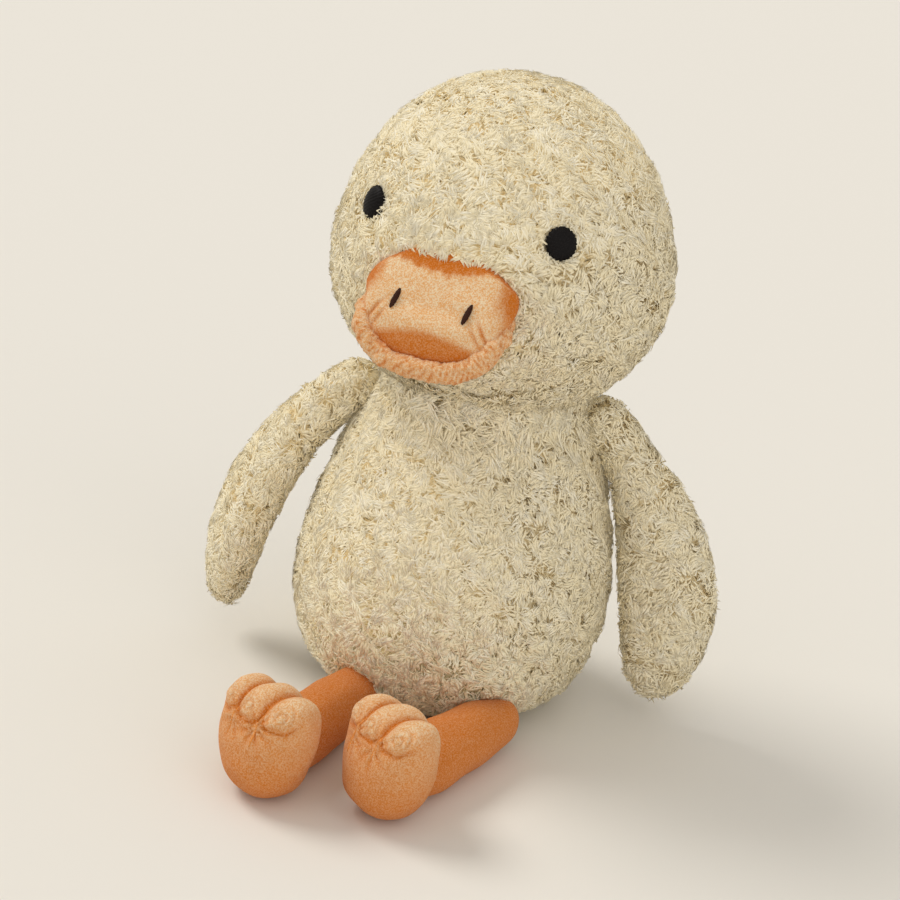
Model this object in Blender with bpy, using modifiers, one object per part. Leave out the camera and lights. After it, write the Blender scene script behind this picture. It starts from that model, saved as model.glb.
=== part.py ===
"""Seated plush duck, sewn of long-pile plush and orange velour, with its stuffing.

The duck faces -Y, +X is its own left, +Z is up, and the origin is the middle of the flat seat.
Each cover is a shell with its filling inside. The head, wings and legs hang on round seams, so
each of them is modelled in the frame of an empty that stands on its joint.
"""

import math

import bmesh
import bpy
from mathutils import Matrix, Vector

# Cloth and clearances
PLUSH_THICKNESS = 0.0045
VELOUR_THICKNESS = 0.0016
SEAM_GAP = 0.0003
SWIVEL_GAP = 0.0008
NECK_GAP = 0.0011
NECK_FILLING_GAP = 0.0022
SHOULDER_GAP = 0.0004
FILLING_GAP = 0.0006
CUT_OVERRUN = 0.004

# Tufts of the long pile: the depth between them where they stand a full spacing apart
TUFT_DEPTH = 0.0028
TUFT_SPACING = 0.0085
TUFT_UNEVENNESS = 0.30
TUFT_WAVE_LENGTH = 0.0065

# Body
NECK_HEIGHT = 0.137
NECK_LEAN = 0.0045
NECK_SETBACK = 0.0025
NECK_RADIUS = 0.0425
# How far below the neck's pivot the round top of the body begins
NECK_TRIM_DROP = NECK_RADIUS * math.sin(math.radians(11))
BODY_HALF_WIDTH = 0.0675
BODY_HALF_DEPTH = 0.0635
BELLY_BULGE = 0.008
SEAT_BARE_HEIGHT = 0.006
NECK_OPENING_RADIUS = 0.027

# Pellet pouch in the seat
POUCH_HALF_WIDTH = 0.036
POUCH_HEIGHT = 0.019

# Neck filling
NECK_STALK_RADIUS = 0.014
NECK_STALK_REACH = 0.016
NECK_WELL_DEPTH = 0.013

# Head
HEAD_RISE = 0.063
HEAD_HALF_HEIGHT = 0.068
HEAD_HALF_WIDTH = 0.0705
HEAD_HALF_DEPTH = 0.067
HEAD_TURN = math.radians(-15)
HEAD_OPENING_RADIUS = 0.018

# Eyes
EYE_RADIUS = 0.0063
EYE_HALF_THICKNESS = 0.0028
EYE_SPREAD = 0.039
EYE_FORWARD = 0.0478
EYE_RISE = 0.020
EYE_BARE_RADIUS = 0.011

# Bill
BILL_TILT = math.radians(54)
BILL_FORWARD = 0.065
BILL_DROP = 0.0083
BILL_HALF_WIDTH = 0.0300
BILL_HALF_LENGTH = 0.0235
BILL_REACH = 0.0035
BILL_THICKNESS = 0.020
LIP_RADIUS = 0.0042
LIP_HALF_WIDTH = 0.031
LIP_LENGTH = 0.037
LIP_START = 0.008
LIP_LIFT = 0.0015
LOWER_BILL_THICKNESS = 0.009
BILL_BARE_RADIUS = 0.038

# Nostrils
NOSTRIL_HALF_LENGTH = 0.0044
NOSTRIL_HALF_WIDTH = 0.0012
NOSTRIL_SPREAD = 0.015
NOSTRIL_PLACE = 0.0045

# Wings
WING_LENGTH = 0.126
WING_ROOT_RADIUS = 0.0095
WING_HALF_WIDTH = 0.0215
WING_HALF_THICKNESS = 0.0115
WING_BOW = 0.012
SHOULDER_OFFSET = 0.0096
SHOULDER_WIDTH_SHARE = 0.65
SHOULDER_DROP = 0.0065
WING_PIVOT_LEAN = 0.0030
WING_LIFT = {"left": math.radians(21.5), "right": math.radians(27)}
WING_SWING = {"left": math.radians(5), "right": math.radians(-4)}
WING_TWIST = {"left": math.radians(12), "right": math.radians(72)}
WING_KNOT_RADIUS = 0.0042
SHOULDER_BARE_RADIUS = 0.018
WING_ROOT_HOLE_RADIUS = 0.003

# Legs
LEG_LENGTH = 0.074
LEG_ROOT_RADIUS = 0.011
LEG_RADIUS = 0.0138
HIP_SPREAD = 0.030
HIP_OFFSET = 0.058
HIP_STAGGER = 0.003
HIP_HEIGHT = 0.0138
HIP_BARE_RADIUS = 0.022
LEG_YAW = {"left": math.radians(-30), "right": math.radians(-20)}
LEG_KNOT_RADIUS = 0.005
LEG_ROOT_HOLE_RADIUS = 0.004
LEG_LIFT_TRAVEL = math.radians(15)
LEG_SPLAY_TRAVEL = {"left": math.radians(30), "right": math.radians(25)}

# Feet
FOOT_HEIGHT = 0.0430
FOOT_HALF_WIDTH = 0.0210
FOOT_HALF_THICKNESS = 0.0165
FOOT_CLEARANCE = 0.0005
FOOT_RECLINE = math.radians(-8)
FOOT_TURN = math.radians(-18)
TOE_RADIUS = 0.0088
TOE_DEPTH_SHARE = 1.25
TOE_SPACING = 0.0136
TOE_DROP = 0.0035
ANKLE_HOLE_RADIUS = 0.008
STITCH_RADIUS = 0.0006
STITCH_RING_RADIUS = 0.0085

# Tail
TAIL_LENGTH = 0.026
TAIL_HALF_WIDTH = 0.0135
TAIL_HALF_THICKNESS = 0.0095
TAIL_ROOT_DEPTH = 0.010
TAIL_HEIGHT = 0.040
TAIL_TILT = math.radians(-62)
TAIL_BARE_RADIUS = 0.017

# Rows of the forms, each as shares: height, width and forward bulge or bow
BODY_ROW_SHARES = (
    (-0.010, 0.00, 0.50),
    (0.004, 0.52, 0.55),
    (0.045, 0.77, 0.62),
    (0.150, 0.93, 0.85),
    (0.330, 1.01, 1.00),
    (0.500, 0.99, 0.90),
    (0.690, 0.885, 0.45),
    (0.835, 0.785, 0.10),
    (0.940, 0.650, 0.00),
    (1.060, 0.660, 0.00),
    (1.200, 0.600, 0.00),
    (1.300, 0.380, 0.00),
    (1.330, 0.00, 0.00),
)
HEAD_ROW_SHARES = (
    (-1.000, 0.00),
    (-0.970, 0.36),
    (-0.850, 0.63),
    (-0.710, 0.745),
    (-0.560, 0.875),
    (-0.370, 0.970),
    (-0.150, 1.010),
    (0.090, 0.990),
    (0.390, 0.895),
    (0.660, 0.735),
    (0.875, 0.520),
    (0.990, 0.260),
    (1.010, 0.00),
)
BILL_ROW_SHARES = (
    (-0.12, 0.00),
    (-0.10, 0.80),
    (0.02, 0.98),
    (0.20, 1.00),
    (0.42, 0.90),
    (0.50, 0.56),
    (0.52, 0.00),
)
LOWER_BILL_ROW_SHARES = (
    (-0.55, 0.00),
    (-0.50, 0.70),
    (-0.10, 0.97),
    (0.25, 0.97),
    (0.45, 0.60),
    (0.50, 0.00),
)
WING_ROW_SHARES = (
    (1.000, 0.00, 0.00, -0.36),
    (0.965, 0.50, 0.56, -0.25),
    (0.870, 0.86, 0.88, 0.10),
    (0.700, 1.03, 1.00, 0.62),
    (0.500, 0.93, 0.98, 0.95),
    (0.300, 0.69, 0.88, 0.90),
    (0.130, 0.41, 0.82, 0.56),
)
LEG_ROW_SHARES = ((0.97, 0.00), (0.95, 0.70), (0.80, 0.97), (0.55, 1.03), (0.33, 0.98), (0.16, 0.90))
FOOT_ROW_SHARES = (
    (0.000, 0.00, 0.00),
    (0.030, 0.42, 0.48),
    (0.160, 0.76, 0.84),
    (0.380, 0.95, 1.02),
    (0.620, 1.03, 0.98),
    (0.820, 0.98, 0.78),
    (0.930, 0.62, 0.46),
    (0.960, 0.00, 0.00),
)
TAIL_ROW_SHARES = (
    (-0.05, 0.00),
    (0.00, 0.80),
    (0.25, 1.00),
    (0.55, 0.86),
    (0.82, 0.56),
    (0.97, 0.26),
    (1.02, 0.00),
)
POUCH_ROW_SHARES = ((0.00, 0.00), (0.06, 0.62), (0.35, 0.98), (0.70, 0.90), (0.94, 0.52), (1.00, 0.00))
# The wing's outer rows, past this share of its length, draw in towards the middle
WING_MIDDLE_SHARE = 0.5
# A root ball's rows behind the pivot, as shares of its radius: distance and width
ROOT_ROW_SHARES = ((0.00, 1.02), (-0.50, 0.90), (-0.86, 0.56), (-1.02, 0.00))

# Faces round each form
BODY_SIDES = 14
TUFTED_SIDES = 18
LIMB_SIDES = 8
BILL_SIDES = 12
DOME_SIDES = 24
SOCKET_SIDES = 16
BALL_SIDES = 12
ROD_SIDES = 14
THREAD_SIDES = 5
# Turn the edges of balls, rods and limbs out of line with the edges of what they meet
ROD_TURN = math.radians(7)
BALL_TURN = math.radians(4)
RING_PHASE = {
    BODY_SIDES: 0.0,
    TUFTED_SIDES: math.radians(3),
    LIMB_SIDES: math.radians(6),
    BILL_SIDES: math.radians(4),
}

# Outline of a squared ring, as the power of its sine and cosine
ROUND_POWER = 1.0
BILL_POWER = 0.78
LIP_POWER = 0.72

SIDES = {"left": 1, "right": -1}

PLUSH_CREAM = (0.87, 0.80, 0.64)
VELOUR_ORANGE = (0.86, 0.50, 0.27)
FIBRE_WHITE = (0.90, 0.89, 0.86)
PELLET_WHITE = (0.80, 0.80, 0.78)
THREAD_BLACK = (0.012, 0.011, 0.011)
THREAD_BROWN = (0.07, 0.035, 0.02)
THREAD_ORANGE = (0.70, 0.34, 0.15)

NECK_PIVOT = Vector((NECK_LEAN, NECK_SETBACK, NECK_HEIGHT))


def clear_scene():
    for obj in list(bpy.data.objects):
        bpy.data.objects.remove(obj)


def new_collection(name):
    collection = bpy.data.collections.new(name)
    bpy.context.scene.collection.children.link(collection)
    return collection


def material(name, color, roughness):
    made = bpy.data.materials.new(name)
    made.use_nodes = True
    shader = made.node_tree.nodes["Principled BSDF"]
    shader.inputs["Base Color"].default_value = (*color, 1.0)
    shader.inputs["Roughness"].default_value = roughness
    shader.inputs["Metallic"].default_value = 0.0
    return made


clear_scene()
PARTS = new_collection("plush_duck")
CUTTERS = new_collection("cutters")
PLUSH = material("plush", PLUSH_CREAM, 0.95)
VELOUR = material("velour", VELOUR_ORANGE, 0.85)
FIBRE = material("fibre", FIBRE_WHITE, 0.95)
PELLETS = material("pellets", PELLET_WHITE, 0.5)
EYE_THREAD = material("eye_thread", THREAD_BLACK, 0.55)
NOSTRIL_THREAD = material("nostril_thread", THREAD_BROWN, 0.7)
TOE_THREAD = material("toe_thread", THREAD_ORANGE, 0.7)


def place(name, mesh, frame, finish):
    """An object in the frame of an empty, or in the world. With no finish it is a cutter."""
    obj = bpy.data.objects.new(name, mesh)
    obj.parent = frame
    mesh.shade_smooth()
    if finish:
        mesh.materials.append(finish)
        PARTS.objects.link(obj)
    else:
        obj.hide_render = True
        obj.display_type = "WIRE"
        CUTTERS.objects.link(obj)
    return obj


def pivot(name, location, rotation, parent=None):
    """An empty on a joint's axis, which carries what moves there."""
    empty = bpy.data.objects.new(name, None)
    empty.parent = parent
    empty.matrix_local = Matrix.Translation(location) @ rotation.to_4x4()
    PARTS.objects.link(empty)
    return empty


def ring_form(name, rows, sides, finish, frame=None, smooth=1, power=ROUND_POWER, twist=0.0):
    """A closed swelling form: a UV sphere whose rings are moved to the rows.

    A row is its centre, half width and half depth, from the bottom pole to the top pole. The
    subdivided cage draws in, so its rings are made larger by what it loses. A plain one is split
    in triangles the same way each time, so a filling stays clear of the hollow round it.
    """
    shape = bmesh.new()
    rings = len(rows) - 1
    bmesh.ops.create_uvsphere(shape, u_segments=sides, v_segments=rings, radius=1.0)
    kept_share = 0.75 + 0.25 * math.cos(2 * math.pi / sides)
    growth = 1 / kept_share if smooth else 1.0
    turn = Matrix.Rotation(twist, 3, "Z")
    for vert in shape.verts:
        polar = math.acos(max(-1.0, min(1.0, -vert.co.z)))
        centre, half_width, half_depth = rows[round(polar / math.pi * rings)]
        angle = math.atan2(vert.co.y, vert.co.x) + RING_PHASE[sides]
        across = math.copysign(abs(math.cos(angle)) ** power, math.cos(angle)) * half_width * growth
        along = math.copysign(abs(math.sin(angle)) ** power, math.sin(angle)) * half_depth * growth
        vert.co = Vector(centre) + turn @ Vector((across, along, 0.0))
    if not smooth:
        bmesh.ops.triangulate(shape, faces=shape.faces, quad_method="FIXED")
    mesh = bpy.data.meshes.new(name)
    shape.to_mesh(mesh)
    shape.free()
    obj = place(name, mesh, frame, finish)
    if smooth:
        soften = obj.modifiers.new("soften", "SUBSURF")
        soften.levels = smooth
        soften.render_levels = smooth
    return obj


def every_other(shape):
    """Half of the points of a mesh of quads, none of them next to another."""
    shape.verts.ensure_lookup_table()
    low = {shape.verts[0]: False}
    waiting = [shape.verts[0]]
    while waiting:
        vert = waiting.pop()
        for edge in vert.link_edges:
            other = edge.other_vert(vert)
            if other not in low:
                low[other] = not low[vert]
                waiting.append(other)
    return [vert for vert in shape.verts if low[vert]]


def tuft(form, bare=()):
    """Draws in every other point of a subdivided form, which leaves tufts between them.

    Bare places, each a centre and a radius in the form's own frame, stay as they were.
    """
    bpy.context.view_layer.update()
    evaluated = form.evaluated_get(bpy.context.evaluated_depsgraph_get())
    shape = bmesh.new()
    shape.from_mesh(evaluated.data)
    shape.normal_update()
    moves = []
    for vert in every_other(shape):
        if any((vert.co - Vector(centre)).length < radius for centre, radius in bare):
            continue
        spacing = min(edge.calc_length() for edge in vert.link_edges)
        wave = math.sin(vert.co.dot(Vector((1.0, 2.0, 3.0))) / TUFT_WAVE_LENGTH)
        depth = TUFT_DEPTH * min(1.0, spacing / TUFT_SPACING) * (1.0 + TUFT_UNEVENNESS * (wave - 1.0) / 2)
        moves.append((vert, vert.co - vert.normal * depth))
    for vert, spot in moves:
        vert.co = spot
    bmesh.ops.triangulate(shape, faces=shape.faces, quad_method="FIXED")
    form.modifiers.clear()
    shape.to_mesh(form.data)
    shape.free()
    form.data.shade_smooth()


def ball(name, radii, finish, frame=None, centre=(0, 0, 0), rotation=None, sides=BALL_SIDES):
    shape = bmesh.new()
    stretch = Matrix.Diagonal((*radii, 1.0)) @ Matrix.Rotation(BALL_TURN, 4, "Z")
    turned = (rotation or Matrix.Identity(3)).to_4x4()
    matrix = Matrix.Translation(centre) @ turned @ stretch
    bmesh.ops.create_uvsphere(shape, u_segments=sides, v_segments=sides // 2, radius=1.0, matrix=matrix)
    mesh = bpy.data.meshes.new(name)
    shape.to_mesh(mesh)
    shape.free()
    return place(name, mesh, frame, finish)


def rod(name, radius, start, end, finish, frame=None):
    """A cylinder from start to end."""
    start = Vector(start)
    end = Vector(end)
    shape = bmesh.new()
    turned = (end - start).to_track_quat("Z", "Y").to_matrix() @ Matrix.Rotation(ROD_TURN, 3, "Z")
    matrix = Matrix.Translation((start + end) / 2) @ turned.to_4x4()
    bmesh.ops.create_cone(
        shape,
        cap_ends=True,
        segments=ROD_SIDES,
        radius1=radius,
        radius2=radius,
        depth=(end - start).length,
        matrix=matrix,
    )
    mesh = bpy.data.meshes.new(name)
    shape.to_mesh(mesh)
    shape.free()
    return place(name, mesh, frame, finish)


def block(name, low, high, finish, frame=None):
    low = Vector(low)
    high = Vector(high)
    shape = bmesh.new()
    matrix = Matrix.Translation((low + high) / 2) @ Matrix.Diagonal((*(high - low), 1.0))
    bmesh.ops.create_cube(shape, size=1.0, matrix=matrix)
    mesh = bpy.data.meshes.new(name)
    shape.to_mesh(mesh)
    shape.free()
    return place(name, mesh, frame, finish)


def cut(obj, *cutters):
    for cutter in cutters:
        boolean(obj, cutter, "DIFFERENCE")


def join(obj, *others):
    for other in others:
        boolean(obj, other, "UNION")


def boolean(obj, other, operation):
    step = obj.modifiers.new(f"{operation.lower()}_{other.name}", "BOOLEAN")
    step.operation = operation
    step.solver = "EXACT"
    step.object = other


def drawn_in(shares, inset, half_height):
    """Heights of the rows when the whole form is drawn in by the inset."""
    heights = [row[0] for row in shares]
    middle = (heights[0] + heights[-1]) / 2
    half_share = (heights[-1] - heights[0]) / 2
    full = half_share * half_height
    return [(middle + (height - middle) * (1 - inset / full)) * half_height for height in heights]


def shrunk(share, size, inset):
    """A row's half width when the form is drawn in, which stays zero at a pole."""
    return max(share * size - inset, 0.0) if share else 0.0


def body_rows(inset=0.0):
    rows = []
    for height, (rise, width, bulge) in zip(drawn_in(BODY_ROW_SHARES, inset, NECK_HEIGHT), BODY_ROW_SHARES):
        lean = max(0.0, min(1.0, rise)) ** 2
        centre = (NECK_LEAN * lean, NECK_SETBACK * lean - BELLY_BULGE * bulge, height)
        rows.append((centre, shrunk(width, BODY_HALF_WIDTH, inset), shrunk(width, BODY_HALF_DEPTH, inset)))
    return rows


def head_rows(inset=0.0):
    """The head in the frame of its pivot, which lies below its middle."""
    rows = []
    for height, (_, width) in zip(drawn_in(HEAD_ROW_SHARES, inset, HEAD_HALF_HEIGHT), HEAD_ROW_SHARES):
        centre = (0.0, 0.0, HEAD_RISE + height)
        rows.append((centre, shrunk(width, HEAD_HALF_WIDTH, inset), shrunk(width, HEAD_HALF_DEPTH, inset)))
    return rows


def root_rows(radius, inset):
    """The round root of a limb, behind its pivot."""
    kept = radius - inset
    return [((0.0, 0.0, -distance * kept), width * kept, width * kept) for distance, width in ROOT_ROW_SHARES]


def wing_rows(side, inset=0.0):
    rows = []
    for distance, width, thickness, bow in WING_ROW_SHARES:
        end = inset if distance > WING_MIDDLE_SHARE else 0.0
        centre = (SIDES[side] * WING_BOW * bow, 0.0, end - WING_LENGTH * distance)
        half_width = shrunk(width, WING_HALF_WIDTH, inset)
        rows.append((centre, half_width, shrunk(thickness, WING_HALF_THICKNESS, inset)))
    return rows


def leg_rows(inset=0.0):
    rows = []
    for distance, width in LEG_ROW_SHARES:
        radius = shrunk(width, LEG_RADIUS, inset)
        rows.append(((0.0, 0.0, -LEG_LENGTH * distance), radius, radius))
    return rows + root_rows(LEG_ROOT_RADIUS, inset)


def foot_rows(inset=0.0):
    rows = []
    for height, (_, width, thickness) in zip(drawn_in(FOOT_ROW_SHARES, inset, FOOT_HEIGHT), FOOT_ROW_SHARES):
        half_width = shrunk(width, FOOT_HALF_WIDTH, inset)
        rows.append(((0.0, 0.0, height), half_width, shrunk(thickness, FOOT_HALF_THICKNESS, inset)))
    return rows


def plain_rows(shares, height, half_width, half_depth, inset=0.0, base=(0, 0, 0)):
    rows = []
    for level, (_, width) in zip(drawn_in(shares, inset, height), shares):
        centre = Vector(base) + Vector((0.0, 0.0, level))
        rows.append((centre, shrunk(width, half_width, inset), shrunk(width, half_depth, inset)))
    return rows


def neck_trim(name, radius):
    """What is cut off above the shoulders, to leave the round top that the head turns on."""
    low = NECK_PIVOT.z - NECK_TRIM_DROP
    high = BODY_ROW_SHARES[-1][0] * NECK_HEIGHT + radius
    reach = BODY_HALF_WIDTH + CUT_OVERRUN
    trim = block(name, (-reach, -reach, low), (reach, reach, high), None)
    keep = ball(f"{name}_ball", (radius,) * 3, None, centre=NECK_PIVOT, sides=DOME_SIDES)
    cut(trim, keep)
    return trim


def make_pivots():
    pivots = {"neck": pivot("neck_pivot", NECK_PIVOT, Matrix.Identity(3))}
    pivots["head"] = pivot("head_pivot", (0, 0, 0), Matrix.Rotation(HEAD_TURN, 3, "Z"), pivots["neck"])
    for side, sign in SIDES.items():
        spread = SHOULDER_WIDTH_SHARE * BODY_HALF_WIDTH + SHOULDER_OFFSET
        shoulder = (WING_PIVOT_LEAN + sign * spread, 0.0, NECK_HEIGHT - SHOULDER_DROP)
        hang = Matrix.Rotation(-WING_SWING[side], 3, "X") @ Matrix.Rotation(-sign * WING_LIFT[side], 3, "Y")
        pivots[f"wing_{side}"] = pivot(f"wing_{side}_pivot", shoulder, hang)
        hip = (sign * HIP_SPREAD, -(HIP_OFFSET + sign * HIP_STAGGER), HIP_HEIGHT)
        lie = Matrix.Rotation(LEG_YAW[side], 3, "Z") @ Matrix.Rotation(math.radians(-90), 3, "X")
        leg = pivot(f"leg_{side}_pivot", hip, lie)
        pivots[f"leg_{side}"] = leg
        ankle = (0.0, HIP_HEIGHT - FOOT_CLEARANCE, -LEG_LENGTH)
        stand = Matrix.Rotation(math.radians(90) + FOOT_RECLINE, 3, "X") @ Matrix.Rotation(FOOT_TURN, 3, "Z")
        pivots[f"foot_{side}"] = pivot(f"foot_{side}_ankle", ankle, stand, leg)
    return pivots


def make_body(pivots):
    cover = ring_form("body_cover", body_rows(), TUFTED_SIDES, PLUSH)
    tuft(cover, body_bare_places(pivots))
    inner = ring_form("body_hollow", body_rows(PLUSH_THICKNESS), BODY_SIDES, None, smooth=0)
    filling_rows = body_rows(PLUSH_THICKNESS + FILLING_GAP)
    filling = ring_form("body_filling", filling_rows, BODY_SIDES, FIBRE, smooth=0)
    reach = BODY_HALF_WIDTH + CUT_OVERRUN
    below = block("seat_cut", (-reach, -reach, -reach), (reach, reach, 0), None)
    cut(cover, neck_trim("neck_trim", NECK_RADIUS), below)
    cut(inner, neck_trim("neck_hollow_trim", NECK_RADIUS - PLUSH_THICKNESS))
    opening_top = NECK_PIVOT + Vector((0, 0, NECK_RADIUS + CUT_OVERRUN))
    cut(cover, inner, rod("neck_opening", NECK_OPENING_RADIUS, NECK_PIVOT, opening_top, None))
    for side in SIDES:
        dish = (WING_ROOT_RADIUS + SHOULDER_GAP,) * 3
        cut(cover, ball(f"shoulder_{side}_dish", dish, None, pivots[f"wing_{side}"], sides=DOME_SIDES))
        cut(cover, *leg_clearance(side, pivots, "cover", SWIVEL_GAP))
        cut(filling, *leg_clearance(side, pivots, "filling", SWIVEL_GAP + FILLING_GAP))
    top = NECK_PIVOT.z - NECK_WELL_DEPTH
    above = block("filling_top_cut", (-reach, -reach, top), (reach, reach, top + NECK_HEIGHT), None)
    well_radius = NECK_RADIUS - PLUSH_THICKNESS
    cut(filling, above, ball("neck_well", (well_radius,) * 3, None, centre=NECK_PIVOT, sides=DOME_SIDES))
    make_pouch(filling)


def body_bare_places(pivots):
    """The seat, the neck and the places that the wings, legs and tail hang on stay smooth."""
    bare = [((0.0, 0.0, -BODY_HALF_WIDTH), BODY_HALF_WIDTH + SEAT_BARE_HEIGHT)]
    bare.append((NECK_PIVOT, NECK_RADIUS + NECK_GAP))
    bare.append((tail_seat_place(), TAIL_BARE_RADIUS))
    for side in SIDES:
        bare.append((pivots[f"wing_{side}"].matrix_local.translation, SHOULDER_BARE_RADIUS))
        bare.append((pivots[f"leg_{side}"].matrix_local.translation, HIP_BARE_RADIUS))
    return bare


def leg_clearance(side, pivots, piece, gap):
    """The hollow under the belly that the leg's root lies in, open for its lift and splay."""
    leg = pivots[f"leg_{side}"]
    name = f"{piece}_hip_{side}"
    cutters = [ball(f"{name}_socket", (LEG_ROOT_RADIUS + gap,) * 3, None, leg, sides=SOCKET_SIDES)]
    lift = Matrix.Rotation(-LEG_LIFT_TRAVEL, 3, "X")
    splay = Matrix.Rotation(-SIDES[side] * LEG_SPLAY_TRAVEL[side], 3, "Y")
    for number, turned in enumerate((Matrix.Identity(3), lift, splay @ lift)):
        end = turned @ Vector((0.0, 0.0, -LEG_LENGTH))
        cutters.append(rod(f"{name}_groove_{number}", LEG_RADIUS + gap, (0, 0, 0), end, None, leg))
    return cutters


def make_pouch(filling):
    """The pellet pouch in the seat. The body filling lies round and over it."""
    base = (0.0, -BELLY_BULGE * BODY_ROW_SHARES[0][2], PLUSH_THICKNESS + SEAM_GAP)
    rows = plain_rows(POUCH_ROW_SHARES, POUCH_HEIGHT, POUCH_HALF_WIDTH, POUCH_HALF_WIDTH, base=base)
    ring_form("seat_pouch", rows, BODY_SIDES, PELLETS, smooth=0)
    grown = plain_rows(POUCH_ROW_SHARES, POUCH_HEIGHT, POUCH_HALF_WIDTH, POUCH_HALF_WIDTH, -SEAM_GAP, base)
    space = ring_form("pouch_space", grown, BODY_SIDES, None, smooth=0)
    below = rod("pouch_way", POUCH_HALF_WIDTH / 2, (0, base[1], -CUT_OVERRUN), base, None)
    cut(filling, space, below)


def make_neck(pivots):
    """A firm ball of fibre with a stalk that reaches up into the head."""
    neck = pivots["neck"]
    radius = NECK_RADIUS - PLUSH_THICKNESS - NECK_FILLING_GAP
    wad = ball("neck_filling", (radius,) * 3, FIBRE, neck, sides=DOME_SIDES)
    top = NECK_RADIUS + NECK_GAP + PLUSH_THICKNESS + NECK_STALK_REACH
    join(wad, rod("neck_stalk", NECK_STALK_RADIUS, (0, 0, 0), (0, 0, top), None, neck))


def make_head(pivots):
    head = pivots["head"]
    cover = ring_form("head_cover", head_rows(), TUFTED_SIDES, PLUSH, head)
    tuft(cover, head_bare_places())
    dish_radius = NECK_RADIUS + NECK_GAP
    floor_radius = dish_radius + PLUSH_THICKNESS
    dish = ball("head_dish", (dish_radius,) * 3, None, head, sides=DOME_SIDES)
    hollow = ring_form("head_hollow", head_rows(PLUSH_THICKNESS), BODY_SIDES, None, head, smooth=0)
    cut(hollow, ball("head_floor", (floor_radius,) * 3, None, head, sides=DOME_SIDES))
    filling_rows = head_rows(PLUSH_THICKNESS + FILLING_GAP)
    filling = ring_form("head_filling", filling_rows, BODY_SIDES, FIBRE, head, smooth=0)
    opening_top = (0, 0, floor_radius + CUT_OVERRUN)
    cut(cover, dish, hollow, rod("head_opening", HEAD_OPENING_RADIUS, (0, 0, 0), opening_top, None, head))
    well_top = (0, 0, floor_radius + NECK_STALK_REACH + SEAM_GAP)
    well = rod("stalk_well", NECK_STALK_RADIUS + SWIVEL_GAP, (0, 0, 0), well_top, None, head)
    floor = ball("filling_floor", (floor_radius + SEAM_GAP,) * 3, None, head, sides=DOME_SIDES)
    cut(filling, floor, well)
    make_eyes(head, cover)
    return cover


def eye_place(sign):
    return Vector((sign * EYE_SPREAD, -EYE_FORWARD, HEAD_RISE + EYE_RISE))


def bill_place():
    return Vector((0.0, -BILL_FORWARD, HEAD_RISE - BILL_DROP))


def head_bare_places():
    """The pile is trimmed round the bill and the eyes."""
    bare = [(bill_place(), BILL_BARE_RADIUS)]
    bare += [(eye_place(sign), EYE_BARE_RADIUS) for sign in SIDES.values()]
    return bare


def make_eyes(head, cover):
    """Satin-stitched domes, half sunk in the plush."""
    for side, sign in SIDES.items():
        centre = eye_place(sign)
        across = centre.x / HEAD_HALF_WIDTH**2
        outward = Vector((across, centre.y / HEAD_HALF_DEPTH**2, EYE_RISE / HEAD_HALF_HEIGHT**2))
        facing = outward.to_track_quat("Z", "Y").to_matrix()
        radii = (EYE_RADIUS, EYE_RADIUS, EYE_HALF_THICKNESS)
        ball(f"eye_{side}", radii, EYE_THREAD, head, centre, facing)
        pocket = tuple(radius + SEAM_GAP for radius in radii)
        cut(cover, ball(f"eye_{side}_pocket", pocket, None, head, centre, facing))


def make_bill(pivots):
    """The two bill pads lie on the face, tilted down and out, and are cut by the head."""
    head = pivots["head"]
    tilt = Matrix.Rotation(BILL_TILT, 3, "X")
    seat = pivot("bill_seat", bill_place(), tilt, head)
    face = ring_form("face_side", head_rows(-SEAM_GAP), TUFTED_SIDES, None, head)
    sizes = (BILL_THICKNESS, BILL_HALF_WIDTH, BILL_HALF_LENGTH)
    base = (0.0, -BILL_REACH, 0.0)
    upper_rows = plain_rows(BILL_ROW_SHARES, *sizes, base=base)
    upper = ring_form("bill_upper", upper_rows, BILL_SIDES, VELOUR, seat, power=BILL_POWER)
    inner_rows = plain_rows(BILL_ROW_SHARES, *sizes, VELOUR_THICKNESS, base)
    inner = ring_form("bill_hollow", inner_rows, BILL_SIDES, None, seat, 0, BILL_POWER)
    filling_rows = plain_rows(BILL_ROW_SHARES, *sizes, VELOUR_THICKNESS + FILLING_GAP, base)
    filling = ring_form("bill_filling", filling_rows, BILL_SIDES, FIBRE, seat, 0, BILL_POWER)
    cut(upper, inner, face)
    cut(filling, face)
    make_nostrils(seat, upper, filling)
    make_lower_bill(seat, face, plain_rows(BILL_ROW_SHARES, *sizes, -SEAM_GAP, base))


def make_nostrils(seat, upper, filling):
    top = BILL_THICKNESS * BILL_ROW_SHARES[-2][0]
    for side, sign in SIDES.items():
        centre = (sign * NOSTRIL_SPREAD, -NOSTRIL_PLACE, top)
        radii = (NOSTRIL_HALF_WIDTH, NOSTRIL_HALF_LENGTH, NOSTRIL_HALF_WIDTH)
        ball(f"nostril_{side}", radii, NOSTRIL_THREAD, seat, centre)
        pocket = tuple(radius + SEAM_GAP for radius in radii)
        space = ball(f"nostril_{side}_pocket", pocket, None, seat, centre)
        cut(upper, space)
        cut(filling, space)


def lip_points(count=17):
    """The lip's middle line: half of a squared oval round the front of the bill."""
    points = []
    for step in range(count):
        angle = math.pi * step / (count - 1)
        across = math.copysign(abs(math.cos(angle)) ** LIP_POWER, math.cos(angle)) * LIP_HALF_WIDTH
        along = LIP_START - LIP_LENGTH * math.sin(angle) ** LIP_POWER
        points.append(Vector((across, along, LIP_LIFT)))
    return points


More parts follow.
